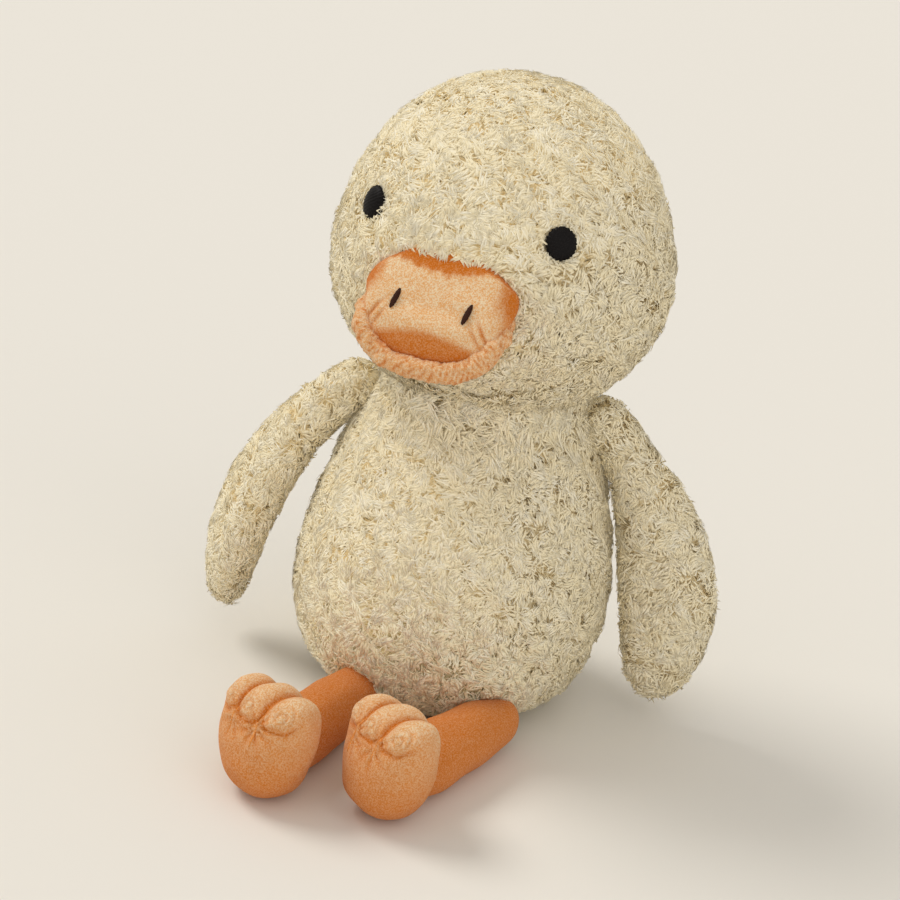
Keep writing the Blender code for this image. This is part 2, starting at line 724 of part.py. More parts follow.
def lip_tube(seat):
    """The rolled lip as a bent tube, made a mesh so that it can be joined to the pad."""
    curve = bpy.data.curves.new("lip_line", "CURVE")
    curve.dimensions = "3D"
    curve.bevel_depth = LIP_RADIUS
    curve.bevel_resolution = 2
    curve.use_fill_caps = True
    points = lip_points()
    spline = curve.splines.new("POLY")
    spline.points.add(len(points) - 1)
    for point, spot in zip(spline.points, points):
        point.co = (*spot, 1.0)
    bent = bpy.data.objects.new("lip_line", curve)
    CUTTERS.objects.link(bent)
    bpy.context.view_layer.update()
    evaluated = bent.evaluated_get(bpy.context.evaluated_depsgraph_get())
    mesh = bpy.data.meshes.new_from_object(evaluated)
    welded = bmesh.new()
    welded.from_mesh(mesh)
    bmesh.ops.remove_doubles(welded, verts=welded.verts, dist=STITCH_RADIUS / 100)
    welded.to_mesh(mesh)
    welded.free()
    bpy.data.objects.remove(bent)
    return place("lip_tube", mesh, seat, None)


def make_lower_bill(seat, face, space_rows):
    base = (0.0, LIP_START - LIP_LENGTH / 2, LIP_LIFT - LOWER_BILL_THICKNESS / 2)
    half_length = LIP_LENGTH / 2
    rows = plain_rows(LOWER_BILL_ROW_SHARES, LOWER_BILL_THICKNESS, LIP_HALF_WIDTH, half_length, base=base)
    lower = ring_form("bill_lower", rows, BILL_SIDES, VELOUR, seat, power=BILL_POWER)
    join(lower, lip_tube(seat))
    upper_space = ring_form("upper_bill_space", space_rows, BILL_SIDES, None, seat, power=BILL_POWER)
    cut(lower, upper_space, face)


def make_wings(pivots):
    for side, sign in SIDES.items():
        frame = pivots[f"wing_{side}"]
        twist = sign * WING_TWIST[side]
        name = f"wing_{side}"
        cover_rows = wing_rows(side) + root_rows(WING_ROOT_RADIUS, 0.0)
        cover = ring_form(f"{name}_cover", cover_rows, LIMB_SIDES, PLUSH, frame, twist=twist)
        tuft(cover, [((0.0, 0.0, 0.0), SHOULDER_BARE_RADIUS)])
        hollow_rows = wing_rows(side, PLUSH_THICKNESS) + root_rows(WING_ROOT_RADIUS, PLUSH_THICKNESS)
        hollow = ring_form(f"{name}_hollow", hollow_rows, LIMB_SIDES, None, frame, 0, twist=twist)
        filling_rows = wing_rows(side, PLUSH_THICKNESS + FILLING_GAP)
        filling_rows.append(((0.0, 0.0, -WING_ROOT_RADIUS), 0.0, 0.0))
        ring_form(f"{name}_filling", filling_rows, LIMB_SIDES, FIBRE, frame, 0, twist=twist)
        ball(f"{name}_knot", (WING_KNOT_RADIUS,) * 3, TOE_THREAD, frame)
        space = ball(f"{name}_knot_space", (WING_KNOT_RADIUS + SEAM_GAP,) * 3, None, frame)
        inward = Vector((-sign * (WING_ROOT_RADIUS + CUT_OVERRUN), 0.0, 0.0))
        hole = rod(f"{name}_root_hole", WING_ROOT_HOLE_RADIUS, (0, 0, 0), inward, None, frame)
        cut(cover, hollow, space, hole)


def make_legs(pivots):
    for side in SIDES:
        frame = pivots[f"leg_{side}"]
        name = f"leg_{side}"
        foot = pivots[f"foot_{side}"]
        foot_space = ring_form(f"{name}_foot_space", foot_rows(-SEAM_GAP), LIMB_SIDES, None, foot)
        cover = ring_form(f"{name}_cover", leg_rows(), LIMB_SIDES, VELOUR, frame)
        hollow = ring_form(f"{name}_hollow", leg_rows(VELOUR_THICKNESS), LIMB_SIDES, None, frame, 0)
        filling_rows = leg_rows(VELOUR_THICKNESS + FILLING_GAP)
        filling = ring_form(f"{name}_filling", filling_rows, LIMB_SIDES, FIBRE, frame, 0)
        ball(f"{name}_knot", (LEG_KNOT_RADIUS,) * 3, TOE_THREAD, frame)
        space = ball(f"{name}_knot_space", (LEG_KNOT_RADIUS + SEAM_GAP,) * 3, None, frame)
        behind = Vector((0.0, 0.0, LEG_ROOT_RADIUS + CUT_OVERRUN))
        hole = rod(f"{name}_root_hole", LEG_ROOT_HOLE_RADIUS, (0, 0, 0), behind, None, frame)
        cut(cover, hollow, hole, foot_space)
        cut(filling, space, hole, foot_space)
        make_foot(side, pivots)


def make_foot(side, pivots):
    frame = pivots[f"foot_{side}"]
    name = f"foot_{side}"
    cover = ring_form(f"{name}_cover", foot_rows(), LIMB_SIDES, VELOUR, frame)
    hollow = ring_form(f"{name}_hollow", foot_rows(VELOUR_THICKNESS), LIMB_SIDES, None, frame, 0)
    filling_rows = foot_rows(VELOUR_THICKNESS + FILLING_GAP)
    filling = ring_form(f"{name}_filling", filling_rows, LIMB_SIDES, FIBRE, frame, 0)
    toe_height = FOOT_HEIGHT - TOE_DROP
    for number in (-1, 0, 1):
        spot = (number * TOE_SPACING, 0.0, toe_height - abs(number) * TOE_DROP / 2)
        radii = (TOE_RADIUS, TOE_RADIUS * TOE_DEPTH_SHARE, TOE_RADIUS)
        join(cover, ball(f"{name}_toe_{number + 2}", radii, None, frame, spot))
    way = Vector((0.0, FOOT_HALF_THICKNESS + CUT_OVERRUN, LEG_RADIUS))
    hole = rod(f"{name}_ankle_hole", ANKLE_HOLE_RADIUS, (0.0, 0.0, LEG_RADIUS), way, None, frame)
    cut(cover, hollow, hole)
    for number, sign in enumerate((-1, 1), 1):
        centre = (sign * TOE_SPACING / 2, 0.0, FOOT_HEIGHT - STITCH_RING_RADIUS - STITCH_RADIUS)
        stitch_ring(f"{name}_stitch_{number}", STITCH_RADIUS, centre, TOE_THREAD, frame)
        space = stitch_ring(f"{name}_stitch_{number}_space", STITCH_RADIUS + SEAM_GAP, centre, None, frame)
        cut(cover, space)
        cut(filling, space)


def stitch_ring(name, thickness, centre, finish, frame):
    """A loop of thread sewn through the foot between two toes."""
    bpy.ops.mesh.primitive_torus_add(
        major_segments=BALL_SIDES,
        minor_segments=THREAD_SIDES,
        major_radius=STITCH_RING_RADIUS,
        minor_radius=thickness,
    )
    made = bpy.context.object
    mesh = made.data
    mesh.name = name
    mesh.transform(Matrix.Translation(centre) @ Matrix.Rotation(math.radians(90), 4, "Y"))
    bpy.data.objects.remove(made)
    return place(name, mesh, frame, finish)


def tail_seat_place():
    return Vector((0.0, BODY_HALF_DEPTH - BELLY_BULGE - TAIL_ROOT_DEPTH, TAIL_HEIGHT))


def make_tail():
    frame = pivot("tail_seat", tail_seat_place(), Matrix.Rotation(TAIL_TILT, 3, "X"))
    rows = plain_rows(TAIL_ROW_SHARES, TAIL_LENGTH, TAIL_HALF_WIDTH, TAIL_HALF_THICKNESS)
    tail = ring_form("tail", rows, LIMB_SIDES, PLUSH, frame)
    tuft(tail)
    cut(tail, ring_form("body_side", body_rows(-SEAM_GAP), TUFTED_SIDES, None))


def main():
    pivots = make_pivots()
    make_body(pivots)
    make_neck(pivots)
    make_head(pivots)
    make_bill(pivots)
    make_wings(pivots)
    make_legs(pivots)
    make_tail()
    bpy.context.view_layer.update()


main()
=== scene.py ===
"""Plush duck: stuffed skins, curly pile, velour bill and feet, sewn eyes, and the studio round it."""

import math

import bmesh
import bpy
import numpy as np
from mathutils import Matrix, Vector, kdtree
from mathutils.bvhtree import BVHTree


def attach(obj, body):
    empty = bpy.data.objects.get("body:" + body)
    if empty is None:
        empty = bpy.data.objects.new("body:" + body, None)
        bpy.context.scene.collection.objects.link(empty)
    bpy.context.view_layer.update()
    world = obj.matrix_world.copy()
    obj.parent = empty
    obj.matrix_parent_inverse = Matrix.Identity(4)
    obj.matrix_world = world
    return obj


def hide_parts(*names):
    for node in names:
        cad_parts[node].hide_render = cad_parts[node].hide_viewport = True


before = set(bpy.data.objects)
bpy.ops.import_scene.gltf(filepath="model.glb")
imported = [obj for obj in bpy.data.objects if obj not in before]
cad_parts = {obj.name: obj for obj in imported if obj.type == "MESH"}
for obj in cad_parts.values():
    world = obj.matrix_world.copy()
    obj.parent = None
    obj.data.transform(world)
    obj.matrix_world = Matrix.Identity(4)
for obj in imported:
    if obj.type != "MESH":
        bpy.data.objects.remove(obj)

bl_info = {
    "name": "Plush duck",
    "version": (1, 0, 0),
    "blender": (4, 5, 0),
    "location": "View3D > Sidebar > Plush duck",
    "description": "Adds a seated plush duck of curly pile with a velour bill and feet",
    "category": "Add Mesh",
}

MM = 0.001
SEED = 7
SIDES = {"left": 1, "right": -1}

NECK = Vector((4.5, 2.5, 137.0)) * MM
HEAD = Matrix.Translation(NECK) @ Matrix.Rotation(math.radians(-15), 4, "Z")
BILL = HEAD @ Matrix.Translation((0.0, -65 * MM, 54.7 * MM)) @ Matrix.Rotation(math.radians(54), 4, "X")
HEAD_HALF = Vector((70.5, 67.0, 68.0)) * MM
HEAD_RISE = 63 * MM
EYE_PLACE = Vector((39.0, -47.8, 20.0)) * MM
LEG_LENGTH = 74 * MM
LEG_YAW = {"left": math.radians(-30), "right": math.radians(-20)}
HIP_HEIGHT = 13.8 * MM
FOOT_RECLINE = math.radians(-8)
FOOT_TURN = math.radians(-18)

PLUSH_NODES = {
    "body": ("body_cover", "body_filling"),
    "head": ("head_cover", "head_filling"),
    "wing_left": ("wing_left_cover", "wing_left_filling"),
    "wing_right": ("wing_right_cover", "wing_right_filling"),
    "tail": ("tail",),
}
BODY_OF = {"tail": "body", **{name: name for name in ("body", "head", "wing_left", "wing_right")}}
HOLLOW_PLUGS = {
    "body": [(NECK, 40 * MM)],
    "wing_left": [((56.475 * MM, 0.0, 130.5 * MM), 7.5 * MM)],
    "wing_right": [((-50.475 * MM, 0.0, 130.5 * MM), 7.5 * MM)],
}
# The blown-up skin comes out by up to this, so it starts from a shape that is smaller by it
STUFFING_SWELL = 1.2 * MM
STUFFING_FRAMES = 20
# Points nearer to each other than this are one
SAME_POINT = 1e-6

# The satin of an eye, in millimetres
EYE_HALF_WIDTH = 6.3
EYE_HALF_HEIGHT = 6.8
EYE_RISE = 0.9
# No tuft has its root nearer than this to the middle of an eye, in millimetres
EYE_CLEARING = 5.3
NOSTRIL_PLACE = Vector((15.0, -5.5, 10.2)) * MM
NOSTRIL_TURN = math.radians(-10)
# Half the width, length and height of a nostril's bar, in millimetres
NOSTRIL_HALF = (1.15, 4.5, 0.95)
LIP_RADIUS = 4.15 * MM
LIP_STATIONS = 241
TOE_THREAD_RADIUS = 0.42 * MM
TOE_THREAD_SINK = 0.22 * MM
# The solid's surface is looked for from this far outside the skin
RELIEF_START = 6.0 * MM
# What is added to each tuft's lift, and the most that a tuft is lifted
RELIEF_BASE = 0.6 * MM
RELIEF_MOST = 3.6 * MM
# The body's pile ends this far above the neck's pivot, inside the head's hollow, in millimetres
BODY_PILE_TOP = 23.0


def length_setting(name, description, default):
    return bpy.props.FloatProperty(
        name=name, description=description, default=default, unit="LENGTH", precision=4
    )


def colour_setting(name, description, default):
    return bpy.props.FloatVectorProperty(
        name=name, description=description, subtype="COLOR", default=default, min=0, max=1
    )


class PlushDuckSizes(bpy.types.PropertyGroup):
    skin_lift: length_setting(
        "Skin lift", "How far the stuffed skin stands over the solid's surface", 0.9 * MM
    )
    pile_length: length_setting("Pile length", "Length of one tuft of the pile", 9.4 * MM)
    pile_spacing: length_setting("Pile spacing", "Distance between the roots of the tufts", 0.90 * MM)
    lock_width: length_setting("Lock width", "Width of a lock of tufts that lean together", 3.1 * MM)
    tuft_radius: length_setting("Tuft radius", "Half the thickness of a tuft at its middle", 0.44 * MM)
    padding_voxel: length_setting(
        "Padding voxel", "Size of the cells that a stuffed skin is made from", 4.0 * MM
    )
    padding_pressure: bpy.props.FloatProperty(
        name="Padding pressure", description="Pressure of the filling while a skin is blown up",
        default=4.0,
    )


class PlushDuckColours(bpy.types.PropertyGroup):
    # The deeper, warmer root is partly the fibre's colour and partly painted shade deep in the pile, which
    # the tufts don't cast; the pale tip is partly the fibre's colour and partly painted highlight
    pile_tip: colour_setting("Pile tip", "Colour of the ends of the tufts", (0.98, 0.915, 0.745))
    pile_middle: colour_setting("Pile middle", "Colour half way down the tufts", (0.94, 0.83, 0.58))
    pile_root: colour_setting("Pile root", "Colour down at the backing cloth", (0.88, 0.72, 0.42))
    velour_light: colour_setting(
        "Velour light", "Colour of the ends of the velour's fibres", (0.95, 0.77, 0.52)
    )
    velour_middle: colour_setting(
        "Velour middle", "Colour of the velour seen between its fibres", (0.85, 0.41, 0.135)
    )
    # Painted shade: the colour that stands in for shade in seams, creases, under the bill and on the shaded
    # legs and feet
    velour_shade: colour_setting(
        "Velour deep", "Colour of the velour in seams and folds", (0.64, 0.165, 0.008)
    )
    eye_thread: colour_setting("Eye thread", "Colour of the eyes' thread", (0.007, 0.006, 0.006))
    nostril_thread: colour_setting(
        "Nostril thread", "Colour of the nostrils' thread", (0.035, 0.013, 0.008)
    )
    floor: colour_setting("Floor", "Colour of the studio floor", (0.80, 0.765, 0.70))


def sizes():
    return bpy.context.scene.plush_duck_sizes


def colours():
    return bpy.context.scene.plush_duck_colours


# Which output of the Texture Coordinate and of the Attribute node is used
OBJECT_COORDINATES = 3
ATTRIBUTE_FACTOR = 2


class Socket:
    """A node's output in a sum: Python's operators add the Math nodes."""

    def __init__(self, tree, link):
        self.tree = tree
        self.link = link

    def math(self, operation, other=0.0, clamp=False):
        settings = {"operation": operation, "use_clamp": clamp}
        return self.tree.node("ShaderNodeMath", settings, {0: self, 1: other})

    def __add__(self, other):
        return self.math("ADD", other)

    def __sub__(self, other):
        return self.math("SUBTRACT", other)

    def __rsub__(self, other):
        return self.tree.node("ShaderNodeMath", {"operation": "SUBTRACT"}, {0: other, 1: self})

    def __mul__(self, other):
        return self.math("MULTIPLY", other)

    def __rmul__(self, other):
        return self.math("MULTIPLY", other)

    def held(self):
        """Kept between 0 and 1."""
        return self.math("ADD", 0.0, True)

    def ramped(self, low, high):
        """0 below low, 1 above high, smooth between."""
        settings = {"interpolation_type": "SMOOTHSTEP"}
        inputs = {"Value": self, "From Min": low, "From Max": high}
        return self.tree.node("ShaderNodeMapRange", settings, inputs)


class Finish:
    """A new material and the calls that add its nodes."""

    def __init__(self, name, roughness=0.9, gloss=0.25, sheen=0.0):
        self.material = bpy.data.materials.new(name)
        self.material.use_nodes = True
        self.nodes = self.material.node_tree.nodes
        self.links = self.material.node_tree.links
        self.shader = self.nodes["Principled BSDF"]
        self.shader.inputs["Roughness"].default_value = roughness
        self.shader.inputs["Specular IOR Level"].default_value = gloss
        self.shader.inputs["Sheen Weight"].default_value = sheen

    def node(self, kind, settings=None, inputs=None, output=0):
        made = self.nodes.new(kind)
        for key, value in (settings or {}).items():
            setattr(made, key, value)
        for key, value in (inputs or {}).items():
            self.feed(made.inputs[key], value)
        return Socket(self, made.outputs[output])

    def feed(self, socket, value):
        if isinstance(value, Socket):
            self.links.new(value.link, socket)
        elif hasattr(value, "__len__") and socket.type == "RGBA" and len(value) == 3:
            socket.default_value = (*value, 1.0)
        else:
            socket.default_value = value

    def place(self):
        return self.node("ShaderNodeTexCoord", output=OBJECT_COORDINATES)

    def noise(self, scale, detail=2.0, roughness=0.5):
        inputs = {"Vector": self.place(), "Scale": scale, "Detail": detail, "Roughness": roughness}
        return self.node("ShaderNodeTexNoise", {"noise_dimensions": "3D"}, inputs)

    def attribute(self, name):
        return self.node("ShaderNodeAttribute", {"attribute_name": name}, output=ATTRIBUTE_FACTOR)

    def mix(self, amount, low, high):
        """A colour between two colours."""
        made = self.nodes.new("ShaderNodeMix")
        made.data_type = "RGBA"
        self.feed(made.inputs[0], amount)
        self.feed(made.inputs[6], low)
        self.feed(made.inputs[7], high)
        return Socket(self, made.outputs[2])

    def bump(self, height, strength, distance):
        inputs = {"Height": height, "Strength": strength, "Distance": distance}
        self.links.new(self.node("ShaderNodeBump", None, inputs).link, self.shader.inputs["Normal"])

    def colour(self, value):
        self.feed(self.shader.inputs["Base Color"], value)


# Meshes


def deselect():
    for obj in list(bpy.context.selected_objects):
        obj.select_set(False)


def make_active(obj):
    deselect()
    obj.select_set(True)
    bpy.context.view_layer.objects.active = obj


def apply_modifiers(obj):
    make_active(obj)
    for modifier in list(obj.modifiers):
        bpy.ops.object.modifier_apply(modifier=modifier.name)


def coordinates(mesh):
    flat = np.empty(len(mesh.vertices) * 3)
    mesh.vertices.foreach_get("co", flat)
    return flat.reshape(-1, 3)


def vertex_normals(mesh):
    flat = np.empty(len(mesh.vertices) * 3)
    mesh.vertex_normals.foreach_get("vector", flat)
    return flat.reshape(-1, 3)


def set_coordinates(mesh, points):
    mesh.vertices.foreach_set("co", np.ascontiguousarray(points, dtype=np.float64).ravel())
    mesh.update()


def smooth_step(values, low, high):
    share = np.clip((values - low) / (high - low), 0.0, 1.0)
    return share * share * (3 - 2 * share)


def hill(values, middle, width):
    """1 at the middle, falling off to 0 over about twice the width."""
    return np.exp(-(((values - middle) / width) ** 2))


def squared_off(value, power):
    """A sine or cosine raised to a power, with its sign kept: below 1 a circle grows corners."""
    return math.copysign(abs(value) ** power, value)


def swirl(points, wavelength, seed):
    """A smooth field of three numbers about -1 to 1, made of plane waves."""
    rng = np.random.default_rng(seed)
    total = np.zeros((len(points), 3))
    for _ in range(14):
        wave = rng.normal(size=3)
        wave *= 2 * math.pi / (wavelength * rng.uniform(0.7, 1.6) * np.linalg.norm(wave))
        phase = points @ wave + rng.uniform(0, 2 * math.pi)
        total += np.sin(phase)[:, None] * rng.normal(size=3)
    return total / math.sqrt(14)


def solid_copy(name, nodes, voxel, plugs=()):
    """The space that a cover and its filling take up, as one closed skin.

    Each plug, a centre and a radius, closes a hollow that the filling leaves.
    """
    deselect()
    copies = []
    for node in nodes:
        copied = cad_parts[node].copy()
        copied.data = copied.data.copy()
        copied.parent = None
        copied.matrix_world = Matrix.Identity(4)
        bpy.context.scene.collection.objects.link(copied)
        copied.select_set(True)
        copies.append(copied)
    for centre, radius in plugs:
        bpy.ops.mesh.primitive_uv_sphere_add(segments=24, ring_count=12, radius=radius, location=centre)
        copies.append(bpy.context.object)
    for copied in copies:
        copied.select_set(True)
    bpy.context.view_layer.objects.active = copies[0]
    if len(copies) > 1:
        bpy.ops.object.join()
    skin = bpy.context.view_layer.objects.active
    skin.name = name
    skin.data.materials.clear()
    bpy.ops.object.mode_set(mode="EDIT")
    bpy.ops.mesh.select_all(action="SELECT")
    bpy.ops.mesh.remove_doubles(threshold=SAME_POINT)
    bpy.ops.object.mode_set(mode="OBJECT")
    remesh = skin.modifiers.new("cells", "REMESH")
    remesh.mode = "VOXEL"
    remesh.voxel_size = voxel
    apply_modifiers(skin)
    keep_largest_part(skin)
    return skin


def keep_largest_part(skin):
    made = bmesh.new()
    made.from_mesh(skin.data)
    made.verts.ensure_lookup_table()
    unseen = set(range(len(made.verts)))
    parts = []
    while unseen:
        part = {unseen.pop()}
        edge = [made.verts[next(iter(part))]]
        while edge:
            for link in edge.pop().link_edges:
                for vert in link.verts:
                    if vert.index in unseen:
                        unseen.discard(vert.index)
                        part.add(vert.index)
                        edge.append(vert)
        parts.append(part)
    largest = max(parts, key=len)
    bmesh.ops.delete(made, geom=[vert for vert in made.verts if vert.index not in largest], context="VERTS")
    made.to_mesh(skin.data)
    made.free()


def draw_in(skin, depth):
    mesh = skin.data
    set_coordinates(mesh, coordinates(mesh) - vertex_normals(mesh) * depth)


def subdivide(obj, levels):
    rounding = obj.modifiers.new("rounding", "SUBSURF")
    rounding.levels = levels
    rounding.render_levels = levels
    apply_modifiers(obj)


def above(points, height):
    """The points, none of them lower than a height over the floor."""
    points[:, 2] = np.maximum(points[:, 2], height)
    return points


def relax(skin, factor, repeat):
    smoothing = skin.modifiers.new("relax", "SMOOTH")
    smoothing.factor = factor
    smoothing.iterations = repeat
    apply_modifiers(skin)


def stuff(skin, pressure, cap):
    """Blows a closed skin up from inside, and keeps each point within the cap of where it was."""
    before = coordinates(skin.data)
    cloth = skin.modifiers.new("stuffing", "CLOTH")
    cloth.settings.use_pressure = True
    cloth.settings.uniform_pressure_force = pressure
    cloth.settings.effector_weights.gravity = 0.0
    cloth.settings.quality = 5
    cloth.settings.tension_stiffness = 25
    cloth.settings.compression_stiffness = 25
    cloth.settings.bending_stiffness = 2
    cloth.point_cache.frame_start = 1
    cloth.point_cache.frame_end = STUFFING_FRAMES
    scene = bpy.context.scene
    for step in range(1, STUFFING_FRAMES + 1):
        scene.frame_set(step)
    apply_modifiers(skin)
    scene.frame_set(1)
    moved = coordinates(skin.data) - before
    length = np.linalg.norm(moved, axis=1, keepdims=True)
    share = np.minimum(1.0, cap / np.maximum(length, 1e-9))
    set_coordinates(skin.data, before + moved * share)


def ball(name, segments, rings):
    """A ball of radius 1, whose points are moved to their real places afterwards."""
    deselect()
    bpy.ops.mesh.primitive_uv_sphere_add(segments=segments, ring_count=rings, radius=1.0)
    bpy.context.object.name = name
    return bpy.context.object


def ring_form(name, rows, sides, levels, matrix, power=1.0):
    """A closed form from a sphere whose rings are moved to rows, then subdivided.

    A row is the middle's y and z, half the width, half the depth, in millimetres.
    """
    rings = len(rows) - 1
    obj = ball(name, sides, rings)
    growth = 1 / (0.75 + 0.25 * math.cos(2 * math.pi / sides))
    for vert in obj.data.vertices:
        polar = math.acos(max(-1.0, min(1.0, -vert.co.z)))
        y, z, half_width, half_depth = rows[round(polar / math.pi * rings)]
        angle = math.atan2(vert.co.y, vert.co.x)
        across = squared_off(math.cos(angle), power) * half_width * growth
        along = squared_off(math.sin(angle), power) * half_depth * growth
        vert.co = Vector((across, y + along, z)) * MM
    subdivide(obj, levels)
    obj.data.transform(matrix)
    obj.data.update()
    return obj


def finish_piece(obj, finish, body, slot, *nodes, fill=None):
    """Gives a piece its material, hangs it on what it rides on and hides the nodes that it stands for."""
    obj.data.materials.clear()
    obj.data.materials.append(finish)
    obj.data.shade_smooth()
    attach(obj, body)
    if nodes:
        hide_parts(*nodes)


def tube(name, path, thickness, roundness, radii=None):
    """A closed tube along a line of points."""
    deselect()
    curve = bpy.data.curves.new(name, "CURVE")
    curve.dimensions = "3D"
    curve.bevel_depth = thickness
    curve.bevel_resolution = roundness
    curve.use_fill_caps = True
    spline = curve.splines.new("POLY")
    spline.points.add(len(path) - 1)
    for point, spot, radius in zip(spline.points, path, radii or [1.0] * len(path)):
        point.co = (*spot, 1.0)
        point.radius = radius
    bent = bpy.data.objects.new(name, curve)
    bpy.context.scene.collection.objects.link(bent)
    make_active(bent)
    bpy.ops.object.convert(target="MESH")
    made = bpy.context.object
    bpy.ops.object.mode_set(mode="EDIT")
    bpy.ops.mesh.select_all(action="SELECT")
    bpy.ops.mesh.remove_doubles(threshold=SAME_POINT)
    bpy.ops.mesh.normals_make_consistent(inside=False)
    bpy.ops.object.mode_set(mode="OBJECT")
    return made


def set_attribute(obj, name, values):
    layer = obj.data.attributes.new(name, "FLOAT", "POINT")
    layer.data.foreach_set("value", np.ascontiguousarray(values, dtype=np.float32))


def in_frame(matrix, points):
    inverse = np.array(matrix.inverted())
    return points @ inverse[:3, :3].T + inverse[:3, 3]


def out_of_frame(matrix, points):
    forward = np.array(matrix)
    return points @ forward[:3, :3].T + forward[:3, 3]


# Pile


def scattered(mesh, spacing, rng):
    """Points about a spacing apart all over a mesh, with the normals there."""
    mesh.calc_loop_triangles()
    corners = np.empty(len(mesh.loop_triangles) * 3, dtype=np.int64)
    mesh.loop_triangles.foreach_get("vertices", corners)
    corners = corners.reshape(-1, 3)
    points = coordinates(mesh)
    normals = vertex_normals(mesh)
    a, b, c = points[corners[:, 0]], points[corners[:, 1]], points[corners[:, 2]]
    areas = np.linalg.norm(np.cross(b - a, c - a), axis=1) / 2
    count = int(areas.sum() / spacing**2 * 3.2)
    chosen = rng.choice(len(corners), size=count, p=areas / areas.sum())
    u, v = rng.random(count), rng.random(count)
    over = u + v > 1
    u[over], v[over] = 1 - u[over], 1 - v[over]
    shares = np.stack([1 - u - v, u, v], axis=1)[:, :, None]
    placed = (points[corners[chosen]] * shares).sum(axis=1)
    facing = (normals[corners[chosen]] * shares).sum(axis=1)
    facing /= np.linalg.norm(facing, axis=1, keepdims=True)
    cells = np.floor(placed / spacing).astype(np.int64)
    _, first = np.unique(cells, axis=0, return_index=True)
    first.sort()
    return placed[first], facing[first]


def nearest_index(centres, points):
    tree = kdtree.KDTree(len(centres))
    for index, centre in enumerate(centres):
        tree.insert(centre, index)
    tree.balance()
    return np.array([tree.find(point)[1] for point in points])


def unit(vectors):
    return vectors / np.maximum(np.linalg.norm(vectors, axis=1, keepdims=True), 1e-12)


def tangent(vectors, normals):
    return unit(vectors - (vectors * normals).sum(axis=1, keepdims=True) * normals)


TUFT_SIDES = 3
# The two rings of a tuft: thickness share, and height on the map
TUFT_RINGS = ((0.80, 0.06), (1.00, 0.52))
TUFT_TIP_HEIGHT = 0.985
MOST_TUFTS = 18000


def relief(solid, roots, normals):
    """How far the solid's coarse tufts lift the pile. It isn't lifted in the valleys between them."""
    lifts = np.zeros(len(roots))
    for index, (root, normal) in enumerate(zip(roots, normals)):
        outside = Vector(root + normal * RELIEF_START)
        away = solid.ray_cast(outside, Vector(-normal), 2 * RELIEF_START)[3]
        if away is not None:
            lifts[index] = RELIEF_START - away
    return np.clip(lifts + sizes().skin_lift + RELIEF_BASE, 0.0, RELIEF_MOST)[:, None]


def grow_pile(name, skin, solid, keep, length, seed, centre, body, finish):
    """Covers a skin with tufts that lean and curl together in locks."""
    duck = sizes()
    rng = np.random.default_rng(seed)
    spacing = duck.pile_spacing * 1.0
    roots, normals = scattered(skin.data, spacing, rng)
    kept = keep(roots)
    roots, normals = roots[kept], normals[kept]
    centres, centre_normals = scattered(skin.data, duck.lock_width, rng)
    lock = nearest_index(centres, roots)

    flow = swirl(centres, 26 * MM, seed + 1) + 0.9 * swirl(centres, 9 * MM, seed + 2)
    fall = np.tile((0.0, 0.0, -0.75), (len(centres), 1))
    lean = tangent(flow + fall + 0.40 * rng.normal(size=centres.shape), centre_normals)
    side = np.cross(centre_normals, lean)
    curl = rng.uniform(-1.25, 1.25, size=(len(centres), 1))
    curled = lean * np.cos(curl) + side * np.sin(curl)
    lock_length = rng.uniform(0.82, 1.12, size=(len(centres), 1))
    lock_flat = rng.uniform(0.0, 1.0, size=(len(centres), 1))
    lock_tone = rng.random(len(centres))

    reach = length(roots)[:, None] * lock_length[lock] * rng.uniform(0.85, 1.12, size=(len(roots), 1))
    # A quarter of the tufts go their own way and close the gaps between locks
    stray = np.where(rng.random((len(roots), 1)) < 0.25, 1.8, 0.30)
    way = tangent(lean[lock] + stray * rng.normal(size=roots.shape), normals)
    end_way = tangent(curled[lock] + stray * rng.normal(size=roots.shape), normals)
    flat = lock_flat[lock]
    bend = roots + reach * (normals * (0.16 - 0.06 * flat) + way * 0.34)
    tip = bend + reach * (normals * (0.08 - 0.12 * flat) + end_way * 0.46)
    # Tufts of a lock draw together towards its end
    rise = length(centres)[:, None] * (0.21 - 0.10 * lock_flat)
    lock_tip = centres + centre_normals * rise + curled * duck.pile_length * 0.55
    together = np.where(stray > 1, 0.0, 1.0)
    bend += (lock_tip[lock] - bend) * 0.04 * together
    tip += (lock_tip[lock] - tip) * 0.26 * together
    # The trimmed pile round the bill and the eyes is lifted less
    trimmed = np.minimum(length(roots) / duck.pile_length, 1.0)[:, None] ** 2
    root_lift = relief(solid, roots, normals) * trimmed
    level = tip - normals * ((tip - roots) * normals).sum(axis=1, keepdims=True)
    tip_lift = relief(solid, level, normals) * trimmed
    bend += normals * (root_lift + tip_lift) / 2
    tip += normals * tip_lift
    base = roots - normals * 0.8 * MM
    stations = np.stack([base, bend, tip], axis=1)

    radius = duck.tuft_radius * 1.0
    points = tuft_points(stations, normals, radius)
    points[:, :, 2] = np.maximum(points[:, :, 2], 0.25 * MM)
    tones = 0.06 + 0.88 * (0.65 * lock_tone[lock] + 0.35 * rng.random(len(roots)))
    around = np.arctan2(roots[:, 1] - centre[1], roots[:, 0] - centre[0])
    parts = np.array_split(np.argsort(around, kind="stable"), math.ceil(len(roots) / MOST_TUFTS))
    for number, part in enumerate(parts, 1):
        piece = pile_piece(f"{name}_{number}", points[part], normals[part], tones[part], finish)
        # Light goes through the thin fibres, so only the skin under them casts a shadow
        piece.visible_shadow = False
        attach(piece, body)


